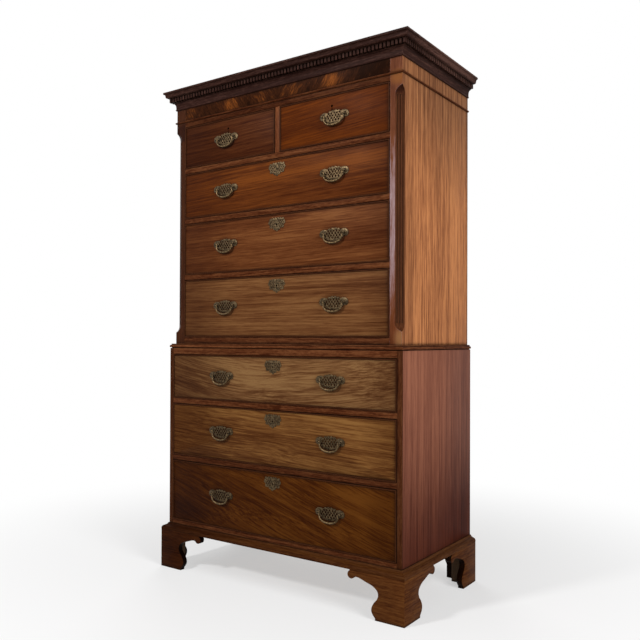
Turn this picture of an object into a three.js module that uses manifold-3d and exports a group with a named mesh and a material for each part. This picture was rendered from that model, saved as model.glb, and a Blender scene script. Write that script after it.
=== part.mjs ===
// A mahogany chest on chest: an upper stage of two short and three long drawers with fluted
// canted corners and a dentil cornice, standing in the waist moulding of a lower stage of
// three long drawers on bracket feet. Millimetres, +Z up, front towards -Y, origin on the
// floor under the middle of the whole.
import * as THREE from 'three';
import { mergeGeometries, mergeVertices } from 'three/addons/utils/BufferGeometryUtils.js';
import Module from 'manifold-3d';

const wasm = await Module();
wasm.setup();

// Driving dimensions of the two cases; the upper one stands back from the lower one's faces
const lowerWidth = 1046;
const lowerDepth = 529;
const lowerSideThickness = 18;
const sideStep = 12;
const frontStep = 19;
const upperWidth = lowerWidth - 2 * sideStep;
const upperDepth = lowerDepth - frontStep;
const upperSideThickness = 20;
const backThickness = 12;

// Heights, from the floor up
const footHeight = 146;
const baseMouldingHeight = 24;
const lowerBottomThickness = 18;
const lowerDrawer3Height = 234;
const lowerDrawer2Height = 202;
const lowerDrawer1Height = 172;
const lowerTopThickness = 24;
const waistHeight = 17;
const upperBottomRailHeight = 43;
const upperBottomThickness = 18;
const upperDrawer3Height = 225;
const upperDrawer2Height = 200;
const upperDrawer1Height = 178;
const shortDrawerHeight = 165;
const friezeRailHeight = 114;
const upperTopThickness = 20;
const corniceLip = 30;

// Dividers between the drawers
const dividerThickness = 21;
const bladeDepth = 60;
const runnerWidth = 45;
const dustPanelThickness = 9;
const dustPanelTongue = 8;
const muntinWidth = 21;
const muntinDepth = 30;
const guideHeight = 15;
const kickerHeight = 20;
const kickerWidth = 25;

// Corner stiles of the upper stage, with their canted and fluted faces
const stileWidth = 46;
const stileDepth = 40;
const cantWidth = 26;
const cantDepth = 18;
const cantStopLength = 26;
const cantStopMargin = 18;
const fluteCount = 3;
const fluteRadius = 3;
const flutePitch = 8.6;
const fluteDepth = 2.3;
const fluteMargin = 4;

// Frieze and cornice
const friezeRailThickness = 22;
const astragalDrop = 19;
const astragalHeight = 8;
const astragalReach = 5;
const corniceReach = 40;
const corniceHeight = 71;
const corniceFillet = 7;
const beadRadius = 3;
const coveReach = 14;
const coveTop = 30;
const coronaReach = 26;
const dentilRecess = 10;
const dentilReach = 22;
const dentilHeight = 16;
const dentilFillet = 2;
const dentilWidth = 9;
const dentilPitch = 14.4;

// Waist and base mouldings, beyond the faces of the lower case
const waistOverhang = 2;
const waistFillet = 3;
const waistRound = 12;
const waistLap = 6;
const waistTongue = 4;
const baseReach = 22;
const baseFillet = 7;
const baseTopReach = 3;
const baseRailWidth = 60;

// Bracket feet
const footThickness = 22;
const bracketLength = 212;
const soleLength = 107;
const scrollRadius = 13.5;
const rearBracketLength = 150;
const glueBlockWidth = 45;

// Drawers
const frontThickness = 20;
const frontSideGap = 1.5;
const frontTopGap = 2;
const drawerLift = 0.3;
const liningThickness = 9;
const liningDrop = 4;
const drawerBackDrop = 14;
const drawerBottomThickness = 7;
const drawerBottomRaise = 8;
const drawerRearGap = 25;
const jointDepth = 6;
const cockbeadWidth = 4;
const cockbeadReach = 3;

// Locks and escutcheons
const keyDrop = 40;
const keyholeRadius = 3.2;
const keySlotWidth = 3.4;
const keySlotLength = 9;
const keyholeDepth = 12;
const escutcheonWidth = 76;
const escutcheonHeight = 50;
const escutcheonThickness = 1.5;

// Handles
const handleSpread = 496;
const handleRaise = 8;
const plateWidth = 118;
const plateTop = 19;
const plateBottom = 27;
const plateThickness = 1.6;
const postSpread = 90;
const postRadius = 4.5;
const postReach = 13.5;
const rosetteRadius = 7;
const rosetteReach = 3;
const pivotReach = 9.5;
const bailDrop = 33;
const bailEndRadius = 2.3;
const bailMiddleRadius = 3.5;
const pinRadius = 1.4;
const pinBoreRadius = 2;
const pinLength = 2.5;

// How far cuts run past their piece, and the gap that rounded pieces keep
const overrun = 5;
const seatGap = 0.3;

// Facets of the round forms
const arcSteps = 6;
const roundSides = 8;
const bailSides = 6;
const bailSteps = 12;
const lozengeSides = 4;
const archSteps = 13;
const scrollSteps = 7;

// Levels and widths that follow
const lowerOpenings = openingsAbove(
  footHeight + baseMouldingHeight + lowerBottomThickness,
  [lowerDrawer3Height, lowerDrawer2Height, lowerDrawer1Height],
);
const upperOpenings = openingsAbove(
  upperBottomRailHeight,
  [upperDrawer3Height, upperDrawer2Height, upperDrawer1Height, shortDrawerHeight],
);
const lowerCaseBottom = footHeight + baseMouldingHeight;
const lowerCaseTop = lowerOpenings.at(-1).top + lowerTopThickness;
const upperCaseTop = upperOpenings.at(-1).top + friezeRailHeight;
const corniceBottom = upperCaseTop + corniceLip - corniceHeight;
const backPlane = (lowerDepth + baseReach) / 2;
const lowerInnerHalf = lowerWidth / 2 - lowerSideThickness;
const upperInnerHalf = upperWidth / 2 - upperSideThickness;
const upperOpeningHalf = upperWidth / 2 - stileWidth;
const shortDrawerWidth = upperOpeningHalf - muntinWidth / 2;
const shortDrawerCentre = (upperOpeningHalf + muntinWidth / 2) / 2;

// Woods and metal
const woods = {
  upperSide: wood(0x8a5431, 0.4),
  lowerSide: wood(0x6d3a26, 0.4),
  upperFront: wood(0x713c20, 0.35),
  lowerFront: wood(0x75491f, 0.38),
  rail: wood(0x42211a, 0.45),
  cornice: wood(0x2c1913, 0.45),
  foot: wood(0x482812, 0.5),
  inside: wood(0x8c6a45, 0.75),
};
const brass = new THREE.MeshStandardMaterial({ color: 0x857657, roughness: 0.42, metalness: 0.85 });

function wood(color, roughness) {
  return new THREE.MeshStandardMaterial({ color, roughness, metalness: 0 });
}

// The bottom and top of each opening in a stack of drawers
function openingsAbove(start, heights) {
  const openings = [];
  let bottom = start;
  for (const height of heights) {
    openings.push({ bottom, top: bottom + height });
    bottom += height + dividerThickness;
  }
  return openings;
}

// A box that spans three ranges
function block([x0, x1], [y0, y1], [z0, z1]) {
  const box = new THREE.BoxGeometry(x1 - x0, y1 - y0, z1 - z0);
  return box.translate((x0 + x1) / 2, (y0 + y1) / 2, (z0 + z1) / 2);
}

function outlineOf(points) {
  return new THREE.Shape(points.map(([x, y]) => new THREE.Vector2(x, y)));
}

// A flat outline with thickness along +Z
function prism(shape, thickness) {
  const settings = { depth: thickness, bevelEnabled: false, curveSegments: arcSteps };
  return new THREE.ExtrudeGeometry(shape, settings);
}

// An outline drawn across and up that stands facing -Y, its thickness running back along +Y
function standing(shape, thickness) {
  return prism(shape, thickness).rotateX(Math.PI / 2).translate(0, thickness, 0);
}

// An outline drawn back and up, its thickness running along +X
function standingSideways(shape, thickness) {
  return prism(shape, thickness).rotateX(Math.PI / 2).rotateZ(Math.PI / 2);
}

// The same faces with only shared positions left
function bareFaces(geometry) {
  const bare = geometry.clone();
  bare.deleteAttribute('normal');
  bare.deleteAttribute('uv');
  return mergeVertices(bare);
}

function solid(geometry) {
  const bare = bareFaces(geometry);
  return new wasm.Manifold(new wasm.Mesh({
    numProp: 3,
    vertProperties: Float32Array.from(bare.attributes.position.array),
    triVerts: Uint32Array.from(bare.index.array),
  }));
}

function skin(manifold) {
  const { vertProperties, triVerts } = manifold.getMesh();
  const geometry = new THREE.BufferGeometry();
  geometry.setAttribute('position', new THREE.BufferAttribute(Float32Array.from(vertProperties), 3));
  geometry.setIndex([...triVerts]);
  geometry.computeVertexNormals();
  return geometry;
}

function join(geometries) {
  return skin(geometries.map(solid).reduce((whole, piece) => whole.add(piece)));
}

function cut(geometry, tools) {
  return skin(tools.map(solid).reduce((whole, tool) => whole.subtract(tool), solid(geometry)));
}

// The mirror image across x = 0, its faces turned outwards again
function mirrorX(geometry) {
  const mirrored = bareFaces(geometry).scale(-1, 1, 1);
  const corners = mirrored.index.array;
  for (let at = 0; at < corners.length; at += 3) {
    [corners[at], corners[at + 1]] = [corners[at + 1], corners[at]];
  }
  mirrored.computeVertexNormals();
  return mirrored;
}

function piece(name, geometry, material) {
  const mesh = new THREE.Mesh(geometry, material);
  mesh.name = name;
  return mesh;
}

// A plain board, placed by the middle of its block
function board(name, material, [x0, x1], [y0, y1], [z0, z1]) {
  const mesh = piece(name, new THREE.BoxGeometry(x1 - x0, y1 - y0, z1 - z0), material);
  mesh.position.set((x0 + x1) / 2, (y0 + y1) / 2, (z0 + z1) / 2);
  return mesh;
}

// The skin over a row of rings that have as many points each, with a flat cap at both ends.
// The caps list the triangles of one ring by the numbers of its points.
function ringSkin(rings, caps) {
  const count = rings[0].length;
  const index = [];
  for (let ring = 0; ring < rings.length - 1; ring += 1) {
    for (let point = 0; point < count; point += 1) {
      const a = ring * count + point;
      const b = ring * count + (point + 1) % count;
      index.push(a, a + count, b, b, a + count, b + count);
    }
  }
  const last = (rings.length - 1) * count;
  for (const [a, b, c] of caps) {
    index.push(a, b, c);
    index.push(last + a, last + c, last + b);
  }
  const geometry = new THREE.BufferGeometry();
  geometry.setAttribute('position', new THREE.Float32BufferAttribute(rings.flat(2), 3));
  geometry.setIndex(index);
  return geometry;
}

// A moulding round the front and both sides of a case, mitred at the front corners.
// The section lists points as reach beyond the case's faces and height.
function mouldingRun(section, halfWidth, depth) {
  const stations = [[-1, false], [-1, true], [1, true], [1, false]];
  const rings = stations.map(([side, atFront]) => section.map(({ x: reach, y: height }) => [
    side * (halfWidth + reach),
    atFront ? -(depth + reach) : 0,
    height,
  ]));
  return ringSkin(rings, THREE.ShapeUtils.triangulateShape(section, []));
}

// The points of a section that is drawn as a path
function sectionOf(path) {
  const points = path.getPoints(arcSteps);
  return points.filter((point, at) => at === 0 || !point.equals(points[at - 1]));
}

// Cornice: bead, cove, recess behind the dentils, ogee and top fillet
function corniceSection() {
  const coronaBottom = coveTop + dentilFillet + dentilHeight;
  const filletBottom = corniceHeight - corniceFillet;
  const coveBottom = 2 * beadRadius;
  const path = new THREE.Path();
  path.moveTo(0, 0);
  path.absarc(beadRadius / 2, beadRadius, beadRadius, -Math.PI / 2, Math.PI / 2, false);
  path.lineTo(beadRadius, coveBottom);
  path.bezierCurveTo(beadRadius, coveTop, beadRadius, coveTop, coveReach, coveTop);
  path.lineTo(dentilRecess, coveTop);
  path.lineTo(dentilRecess, coronaBottom);
  path.lineTo(coronaReach, coronaBottom);
  path.bezierCurveTo(corniceReach, coronaBottom, coronaReach, filletBottom, corniceReach, filletBottom);
  path.lineTo(corniceReach, corniceHeight);
  path.lineTo(0, corniceHeight);
  return sectionOf(path);
}

// Even places for the dentils of a row that starts and ends with one
function dentilPlaces(length) {
  const gaps = Math.round((length - dentilWidth) / dentilPitch);
  const pitch = (length - dentilWidth) / gaps;
  return Array.from({ length: gaps + 1 }, (_, at) => at * pitch);
}

// One row of dentils across the front and one along each side, meeting at the corners
function dentilRows() {
  const bottom = coveTop + dentilFillet;
  const heights = [bottom, bottom + dentilHeight + jointDepth / 2];
  const root = dentilRecess - jointDepth / 2;
  const halfFront = upperWidth / 2 + dentilReach;
  const frontDepth = upperDepth + dentilReach;
  const frontRow = dentilPlaces(2 * halfFront).map((place) => block(
    [place - halfFront, place - halfFront + dentilWidth],
    [-frontDepth, -(upperDepth + root)],
    heights,
  ));
  const sideRows = [-1, 1].map((side) => dentilPlaces(frontDepth).map((place) => block(
    [side * (upperWidth / 2 + root), side * halfFront].sort((a, b) => a - b),
    [place - frontDepth, place - frontDepth + dentilWidth],
    heights,
  )));
  return [frontRow, ...sideRows].map((row) => mergeGeometries(row));
}

function cornice() {
  const run = mouldingRun(corniceSection(), upperWidth / 2, upperDepth);
  const mesh = piece('cornice', join([run, ...dentilRows()]), woods.cornice);
  mesh.position.z = corniceBottom;
  return mesh;
}

// Half round bead that crosses the frieze and the two sides
function astragalSection(height) {
  const half = astragalHeight / 2;
  const path = new THREE.Path();
  path.moveTo(0, height);
  path.absellipse(0, height + half, astragalReach, half, -Math.PI / 2, Math.PI / 2, false);
  return sectionOf(path);
}

// The frieze rail over the short drawers, with the astragal on its face and kickers behind
function frieze() {
  const bottom = upperOpenings.at(-1).top;
  const front = -upperDepth;
  const railBack = front + friezeRailThickness;
  const astragalBottom = bottom + astragalDrop;
  const kickerHeights = [bottom, bottom + kickerHeight];
  const pieces = [
    block([-upperOpeningHalf, upperOpeningHalf], [front, railBack], [bottom, upperCaseTop]),
    mouldingRun(astragalSection(astragalBottom), upperWidth / 2, upperDepth),
    block(
      [-upperOpeningHalf, upperOpeningHalf],
      [front - astragalReach / 2, front + astragalReach],
      [astragalBottom + astragalHeight / 4, astragalBottom + astragalHeight * 3 / 4],
    ),
    block([-kickerWidth, kickerWidth], [railBack - jointDepth, -backThickness], kickerHeights),
  ];
  for (const side of [-1, 1]) {
    const inner = side * (upperOpeningHalf - kickerWidth);
    const short = [inner, side * upperOpeningHalf].sort((a, b) => a - b);
    const full = [inner, side * upperInnerHalf].sort((a, b) => a - b);
    pieces.push(block(short, [railBack - jointDepth, front + stileDepth + overrun], kickerHeights));
    pieces.push(block(full, [front + stileDepth, -backThickness], kickerHeights));
  }
  return piece('frieze_and_astragal', join(pieces), woods.rail);
}

// The cutter that cants the corner and scoops out at both ends, drawn as distance out from
// the canted face and height
function cantCutter(bottom, top) {
  const depth = cantWidth * cantDepth / Math.hypot(cantWidth, cantDepth);
  const radius = (cantStopLength ** 2 + depth ** 2) / (2 * depth);
  const sweep = Math.asin(cantStopLength / radius);
  const out = depth + overrun;
  const shape = new THREE.Shape();
  shape.moveTo(out, bottom);
  shape.lineTo(out, top);
  shape.lineTo(depth, top);
  shape.absarc(radius, top - cantStopLength, radius, Math.PI - sweep, Math.PI, false);
  shape.absarc(radius, bottom + cantStopLength, radius, Math.PI, Math.PI + sweep, false);
  const reach = Math.hypot(cantWidth, cantDepth) + overrun;
  return prism(shape, 2 * reach).rotateX(Math.PI / 2).translate(0, reach, 0);
}

// Rounded grooves side by side on the canted face
function flutes(bottom, top) {
  const length = top - bottom - 2 * (cantStopLength + fluteMargin + fluteRadius);
  const grooves = [];
  for (let at = 0; at < fluteCount; at += 1) {
    const groove = new THREE.CapsuleGeometry(fluteRadius, length, 2, roundSides);
    const across = (at - (fluteCount - 1) / 2) * flutePitch;
    groove.rotateX(Math.PI / 2).translate(fluteRadius - fluteDepth, across, (bottom + top) / 2);
    grooves.push(groove);
  }
  return grooves;
}

// Right corner stile: square at its ends, canted and fluted between
function cornerStile() {
  const edge = upperWidth / 2;
  const bottom = upperOpenings[0].bottom + cantStopMargin;
  const top = upperOpenings.at(-1).top - cantStopMargin;
  const stile = block([edge - stileWidth, edge], [-upperDepth, stileDepth - upperDepth], [0, upperCaseTop]);
  const outward = Math.atan2(-cantWidth, cantDepth);
  const tools = [cantCutter(bottom, top), ...flutes(bottom, top)];
  for (const tool of tools) {
    tool.rotateZ(outward).translate(edge - cantWidth / 2, cantDepth / 2 - upperDepth, 0);
  }
  return cut(stile, tools);
}

// The parts of a divider: blade in front, runner along each side, dust panel in grooves between
function dividerParts(frontHalf, innerHalf, depth, stepDepth, thickness) {
  const panelBottom = (thickness - dustPanelThickness) / 2;
  const panelHalf = innerHalf - runnerWidth + dustPanelTongue;
  const parts = [
    block([-frontHalf, frontHalf], [-depth, bladeDepth - depth], [0, thickness]),
    block(
      [-panelHalf, panelHalf],
      [bladeDepth - depth - dustPanelTongue, -backThickness],
      [panelBottom, panelBottom + dustPanelThickness],
    ),
  ];
  for (const side of [-1, 1]) {
    const across = [side * (innerHalf - runnerWidth), side * innerHalf].sort((a, b) => a - b);
    parts.push(block(across, [stepDepth - depth, -backThickness], [0, thickness]));
  }
  return parts;
}

// Guides beside the drawers, on top of the runners of the upper stage
function sideGuides(thickness) {
  return [-1, 1].map((side) => block(
    [side * upperOpeningHalf, side * upperInnerHalf].sort((a, b) => a - b),
    [stileDepth - upperDepth, -backThickness],
    [thickness - jointDepth, thickness + guideHeight],
  ));
}

function upperDividerParts(thickness) {
  const parts = dividerParts(upperOpeningHalf, upperInnerHalf, upperDepth, stileDepth, thickness);
  return [...parts, ...sideGuides(thickness)];
}

// The muntin between the short drawers, with its runner and guide behind
function muntinParts() {
  const half = muntinWidth / 2;
  const top = dividerThickness;
  return [
    block([-half, half], [-upperDepth, muntinDepth - upperDepth], [0, top + shortDrawerHeight]),
    block([-runnerWidth / 2, runnerWidth / 2], [-upperDepth, -backThickness], [0, top]),
    block([-half, half], [-upperDepth, -backThickness], [0, top + guideHeight]),
  ];
}

function upperDivider(name, opening, extra = []) {
  const mesh = piece(name, join([...upperDividerParts(dividerThickness), ...extra]), woods.rail);
  mesh.position.z = opening.top;
  return mesh;
}

function lowerDivider(name, opening) {
  const parts = dividerParts(lowerInnerHalf, lowerInnerHalf, lowerDepth, 0, dividerThickness);
  const mesh = piece(name, join(parts), woods.rail);
  mesh.position.z = opening.top;
  return mesh;
}

// Bottom board of the upper stage, with its deep front rail
function upperBottom() {
  const boardBottom = upperBottomRailHeight - upperBottomThickness;
  const boardParts = upperDividerParts(upperBottomThickness);
  for (const part of boardParts) part.translate(0, 0, boardBottom);
  const rail = block(
    [-upperOpeningHalf, upperOpeningHalf],
    [-upperDepth, friezeRailThickness - upperDepth],
    [0, upperBottomRailHeight],
  );
  return piece('upper_bottom', join([...boardParts, rail]), woods.rail);
}

// Top board of the upper stage, notched round the corner stiles
function upperTop() {
  const front = friezeRailThickness - upperDepth;
  const step = stileDepth - upperDepth;
  const plan = outlineOf([
    [-upperOpeningHalf, front], [upperOpeningHalf, front], [upperOpeningHalf, step],
    [upperInnerHalf, step], [upperInnerHalf, -backThickness], [-upperInnerHalf, -backThickness],
    [-upperInnerHalf, step], [-upperOpeningHalf, step],
  ]);
  const mesh = piece('upper_top', prism(plan, upperTopThickness), woods.inside);
  mesh.position.z = upperCaseTop - upperTopThickness;
  return mesh;
}

function upperSide(name, side) {
  const across = [side * upperInnerHalf, side * upperWidth / 2].sort((a, b) => a - b);
  return board(name, woods.upperSide, across, [stileDepth - upperDepth, 0], [0, upperCaseTop]);
}

function lowerSide(name, side) {
  const across = [side * lowerInnerHalf, side * lowerWidth / 2].sort((a, b) => a - b);
  return board(name, woods.lowerSide, across, [-lowerDepth, 0], [lowerCaseBottom, lowerCaseTop]);
}

// Waist moulding: fillet and quarter round, with a tongue into the top board
function waistSection() {
  const roundTop = waistHeight;
  const roundOut = waistOverhang - waistRound;
  const tongueEdge = -(lowerSideThickness + seatGap);
  const innerEdge = -(frontStep + waistLap);
  const path = new THREE.Path();
  path.moveTo(tongueEdge, 0);
  path.lineTo(waistOverhang, 0);
  path.lineTo(waistOverhang, waistFillet);
  path.absellipse(roundOut, waistFillet, waistRound, roundTop - waistFillet, 0, Math.PI / 2, false);
  path.lineTo(innerEdge, roundTop);
  path.lineTo(innerEdge, -waistTongue);
  path.lineTo(tongueEdge, -waistTongue);
  return sectionOf(path);
}

// Top board of the lower stage with the waist moulding, and the pocket the upper stage stands in
function lowerTop() {
  const run = mouldingRun(waistSection(), lowerWidth / 2, lowerDepth);
  const top = block([-lowerInnerHalf, lowerInnerHalf], [-lowerDepth, 0], [-lowerTopThickness, 0]);
  const pocket = block(
    [-upperWidth / 2, upperWidth / 2],
    [-upperDepth, overrun],
    [0, waistHeight + overrun],
  );
  const mesh = piece('lower_top_with_waist_moulding', cut(join([run, top]), [pocket]), woods.rail);
  mesh.position.z = lowerCaseTop;
  return mesh;
}

// Base moulding: fillet and ogee on the outer edge of the frame that carries the case
function baseSection() {
  const height = baseMouldingHeight;
  const path = new THREE.Path();
  path.moveTo(-baseRailWidth, 0);
  path.lineTo(baseReach, 0);
  path.lineTo(baseReach, baseFillet);
  const middle = (baseFillet + height) / 2;
  path.bezierCurveTo(baseReach, middle, baseTopReach, middle, baseTopReach, height);
  path.lineTo(-baseRailWidth, height);
  return sectionOf(path);
}

function baseFrame() {
  const run = mouldingRun(baseSection(), lowerWidth / 2, lowerDepth);
  const inner = lowerWidth / 2 - baseRailWidth + overrun;
  const rearRail = block([-inner, inner], [-baseRailWidth, 0], [0, baseMouldingHeight]);
  const mesh = piece('base_moulding', join([run, rearRail]), woods.foot);
  mesh.position.z = footHeight;
  return mesh;
}

// Outline of a bracket, from the corner of the case along the floor and up: heel, swelling toe,
// arch, and a small round scroll against the base moulding
const archAlongShares = [1, 1.1, 1.13, 1.05, 0.93, 0.9, 1, 1.3, 1.7];
const archUpShares = [0.05, 0.14, 0.23, 0.37, 0.48, 0.6, 0.7, 0.79, 0.86];
const scrollDropShare = 1.15;
const scrollStart = -Math.PI * 0.8;
const scrollEnd = Math.PI * 0.35;

function bracketOutline() {
  const arch = archAlongShares.map((along, at) => new THREE.Vector2(
    along * soleLength,
    archUpShares[at] * footHeight,
  ));
  const scroll = new THREE.EllipseCurve(
    bracketLength - scrollRadius,
    footHeight - scrollRadius * scrollDropShare,
    scrollRadius,
    scrollRadius,
    scrollStart,
    scrollEnd,
  );
  const points = [
    new THREE.Vector2(0, 0),
    new THREE.Vector2(soleLength, 0),
    ...new THREE.SplineCurve(arch).getPoints(archSteps),
    ...scroll.getPoints(scrollSteps),
  ];
  points.push(new THREE.Vector2(points.at(-1).x, footHeight));
  points.push(new THREE.Vector2(0, footHeight));
  return new THREE.Shape(points);
}

// Right front foot: two brackets that meet at the corner, and the glue block inside them
function frontFoot() {
  const outline = bracketOutline();
  const faceBracket = mirrorX(standing(outline, footThickness));
  const sideBracket = standingSideways(outline, footThickness).translate(-footThickness, 0, 0);
  const inner = footThickness - jointDepth / 2;
  const reach = footThickness + glueBlockWidth;
  const glueBlock = block([-reach, -inner], [inner, reach], [0, footHeight]);
  return join([faceBracket, sideBracket, glueBlock]);
}

// Right rear foot: the same bracket on the side, a plain raked bracket across the back
function rearFoot() {
  const side = standingSideways(bracketOutline(), footThickness).rotateZ(Math.PI);
  const rake = outlineOf([
    [0, 0],
    [-soleLength, 0],
    [-soleLength, footHeight / 3],
    [-rearBracketLength, footHeight],
    [0, footHeight],
  ]);
  const back = standing(rake, footThickness).translate(0, -footThickness, 0);
  const inner = footThickness - jointDepth / 2;
  const reach = footThickness + glueBlockWidth;
  const glueBlock = block([-reach, -inner], [-reach, -inner], [0, footHeight]);
  return join([side, back, glueBlock]);
}

function foot(name, geometry, side, y) {
  const mesh = piece(name, side > 0 ? geometry : mirrorX(geometry), woods.foot);
  mesh.position.set(side * (lowerWidth / 2 + baseReach), y, 0);
  return mesh;
}

// Keyhole outline: a round hole with a slot below
function keyhole(centreX, centreZ) {
  const half = keySlotWidth / 2;
  const turn = Math.asin(half / keyholeRadius);
  const hole = new THREE.Path();
  hole.absarc(centreX, centreZ, keyholeRadius, -Math.PI / 2 + turn, Math.PI * 1.5 - turn, false);
  hole.lineTo(centreX - half, centreZ - keySlotLength);
  hole.lineTo(centreX + half, centreZ - keySlotLength);
  hole.closePath();
  return hole;
}

function keyholeCutter(centreZ, depth) {
  const shape = new THREE.Shape(keyhole(0, centreZ).getPoints(arcSteps));
  const outside = overrun + escutcheonThickness;
  return standing(shape, depth + outside).translate(0, -outside, 0);
}

// Both halves of an outline from the shares of its right half, top to bottom
function mirroredOutline(shares, halfWidth, halfHeight) {
  const right = shares.map(([x, y]) => new THREE.Vector2(x * halfWidth, y * halfHeight));
  const offAxis = right.filter((point) => point.x > 0);
  const left = offAxis.reverse().map((point) => new THREE.Vector2(-point.x, point.y));
  return [...right, ...left];
}

// Escutcheon: a winged plate with a pointed foot, pierced on each side of its keyhole
const escutcheonShares = [
  [0, 0.72], [0.12, 1], [0.3, 0.86], [0.42, 1], [0.6, 0.78], [0.78, 0.92], [0.9, 0.62],
  [1, 0.2], [0.8, -0.08], [0.84, -0.4], [0.6, -0.52], [0.44, -0.42], [0.36, -0.74],
  [0.16, -0.78], [0, -1],
];
const escutcheonPiercingShares = [
  { across: 0.36, up: 0.36, wide: 0.1, high: 0.26 },
  { across: 0.66, up: 0.2, wide: 0.12, high: 0.22 },
];

function pierce(shape, piercings, halfWidth, halfHeight) {
  for (const { across, up, wide, high } of piercings) {
    for (const side of across > 0 ? [-1, 1] : [1]) {
      const hole = new THREE.EllipseCurve(
        side * across * halfWidth,
        up * halfHeight,
        wide * halfWidth,
        high * halfHeight,
      );
      shape.holes.push(new THREE.Path(hole.getPoints(lozengeSides).slice(0, -1)));
    }
  }
  return shape;
}

function escutcheon(centreZ) {
  const halfWidth = escutcheonWidth / 2;
  const halfHeight = escutcheonHeight / 2;
  const shape = new THREE.Shape(mirroredOutline(escutcheonShares, halfWidth, halfHeight));
  pierce(shape, escutcheonPiercingShares, halfWidth, halfHeight);
  const thickness = escutcheonThickness + jointDepth / 2;
  return standing(shape, thickness).translate(0, -escutcheonThickness, centreZ);
}

// A drawer seen from its opening: x from the middle, y back from the front face, z from the
// bottom of the opening
function drawerGeometry(openingWidth, openingHeight, depth, hasEscutcheon) {
  const half = openingWidth / 2 - frontSideGap;
  const bottom = drawerLift;
  const top = openingHeight - frontTopGap;
  const sideTop = top - liningDrop;
  const sideFaces = [half - liningThickness, half];
  const keyHeight = openingHeight - keyDrop;
  const rim = outlineOf([[-half, bottom], [half, bottom], [half, top], [-half, top]]);
  rim.holes.push(outlineOf([
    [-half + cockbeadWidth, bottom + cockbeadWidth], [-half + cockbeadWidth, top - cockbeadWidth],
    [half - cockbeadWidth, top - cockbeadWidth], [half - cockbeadWidth, bottom + cockbeadWidth],
  ]));
  const parts = [
    block([-half, half], [0, frontThickness], [bottom, top]),
    standing(rim, cockbeadReach + jointDepth).translate(0, -cockbeadReach, 0),
    block(sideFaces, [frontThickness - jointDepth, depth], [bottom, sideTop]),
    block(sideFaces.map((x) => -x).reverse(), [frontThickness - jointDepth, depth], [bottom, sideTop]),
    block(
      [jointDepth - half, half - jointDepth],
      [frontThickness - jointDepth, depth],
      [bottom + drawerBottomRaise, bottom + drawerBottomRaise + drawerBottomThickness],
    ),
    block(
      [jointDepth - half, half - jointDepth],
      [depth - liningThickness, depth],
      [bottom + drawerBottomRaise, top - drawerBackDrop],
    ),
  ];
  if (hasEscutcheon) parts.push(escutcheon(keyHeight));
  return cut(join(parts), [keyholeCutter(keyHeight, keyholeDepth)]);
}

// Handle plate: scalloped crest, round ears behind the posts and a pierced half moon below
const plateTopShares = [
  [0, 0.84], [0.1, 1], [0.22, 0.79], [0.34, 0.87], [0.46, 0.53], [0.75, 0.71], [0.92, 0.5],
  [1, 0.05],
];
const plateBottomShares = [
  [0.95, -0.33], [0.81, -0.44], [0.64, -0.33], [0.58, -0.56], [0.37, -0.72], [0.22, -0.93],
  [0, -1],
];
const platePiercingShares = [
  { across: 0, up: 0.2, wide: 0.07, high: 0.28 },
  { across: 0.25, up: 0.1, wide: 0.1, high: 0.3 },
  { across: 0.2, up: -0.45, wide: 0.09, high: 0.2 },
];

function plateOutline() {
  const halfWidth = plateWidth / 2;
  const upper = plateTopShares.map(([x, y]) => [x, y * plateTop / plateBottom]);
  return mirroredOutline([...upper, ...plateBottomShares], halfWidth, plateBottom);
}

// A post: rosette on the plate, shank and domed head, drawn along the y axis
function post() {
  const profile = [
    [0, -plateThickness],
    [rosetteRadius, -plateThickness],
    [postRadius, rosetteReach],
    [postRadius, postReach - postRadius / 2],
    [0, postReach],
  ].map(([radius, height]) => new THREE.Vector2(radius, height));
  return new THREE.LatheGeometry(profile, bailSides, Math.PI / bailSides).rotateX(Math.PI);
}

// The hole in the inner side of a post that takes the bail's pin
function pinBore(side) {
  const length = pinLength + overrun;
  const bore = new THREE.CylinderGeometry(pinBoreRadius, pinBoreRadius, length, bailSides);
  const end = postSpread / 2 - postRadius + pinLength + seatGap;
  return bore.rotateZ(Math.PI / 2).translate(side * (end - length / 2), -pivotReach, 0);
}

function handlePlateGeometry() {
  const outline = new THREE.Shape(plateOutline());
  const shape = pierce(outline, platePiercingShares, plateWidth / 2, plateBottom);
  const plate = standing(shape, plateThickness).translate(0, -plateThickness, 0);
  const seat = plateThickness + seatGap / 2;
  const posts = [-1, 1].map((side) => post().translate(side * postSpread / 2, -seat, 0));
  return cut(join([plate, ...posts]), [pinBore(-1), pinBore(1)]);
}

// Bail: a bow that hangs between its posts, thin at its necks and swelling to the middle, with
// a pin turned out into each post. The shares follow its right half, from the post to the middle.
const bailAcrossShares = [1, 0.935, 0.945, 0.89, 0.71, 0.4, 0];
const bailDownShares = [0, 0.11, 0.31, 0.56, 0.79, 0.94, 1];

// A ring of the bail round a point of its route, square to the tangent there
function bailRing(centre, tangent, radius) {
  return Array.from({ length: bailSides }, (_, at) => {
    const angle = at * 2 * Math.PI / bailSides;
    const out = radius * Math.cos(angle);
    return [
      centre.x - out * tangent.z,
      centre.y + radius * Math.sin(angle),
      centre.z + out * tangent.x,
    ];
  });
}

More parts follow.
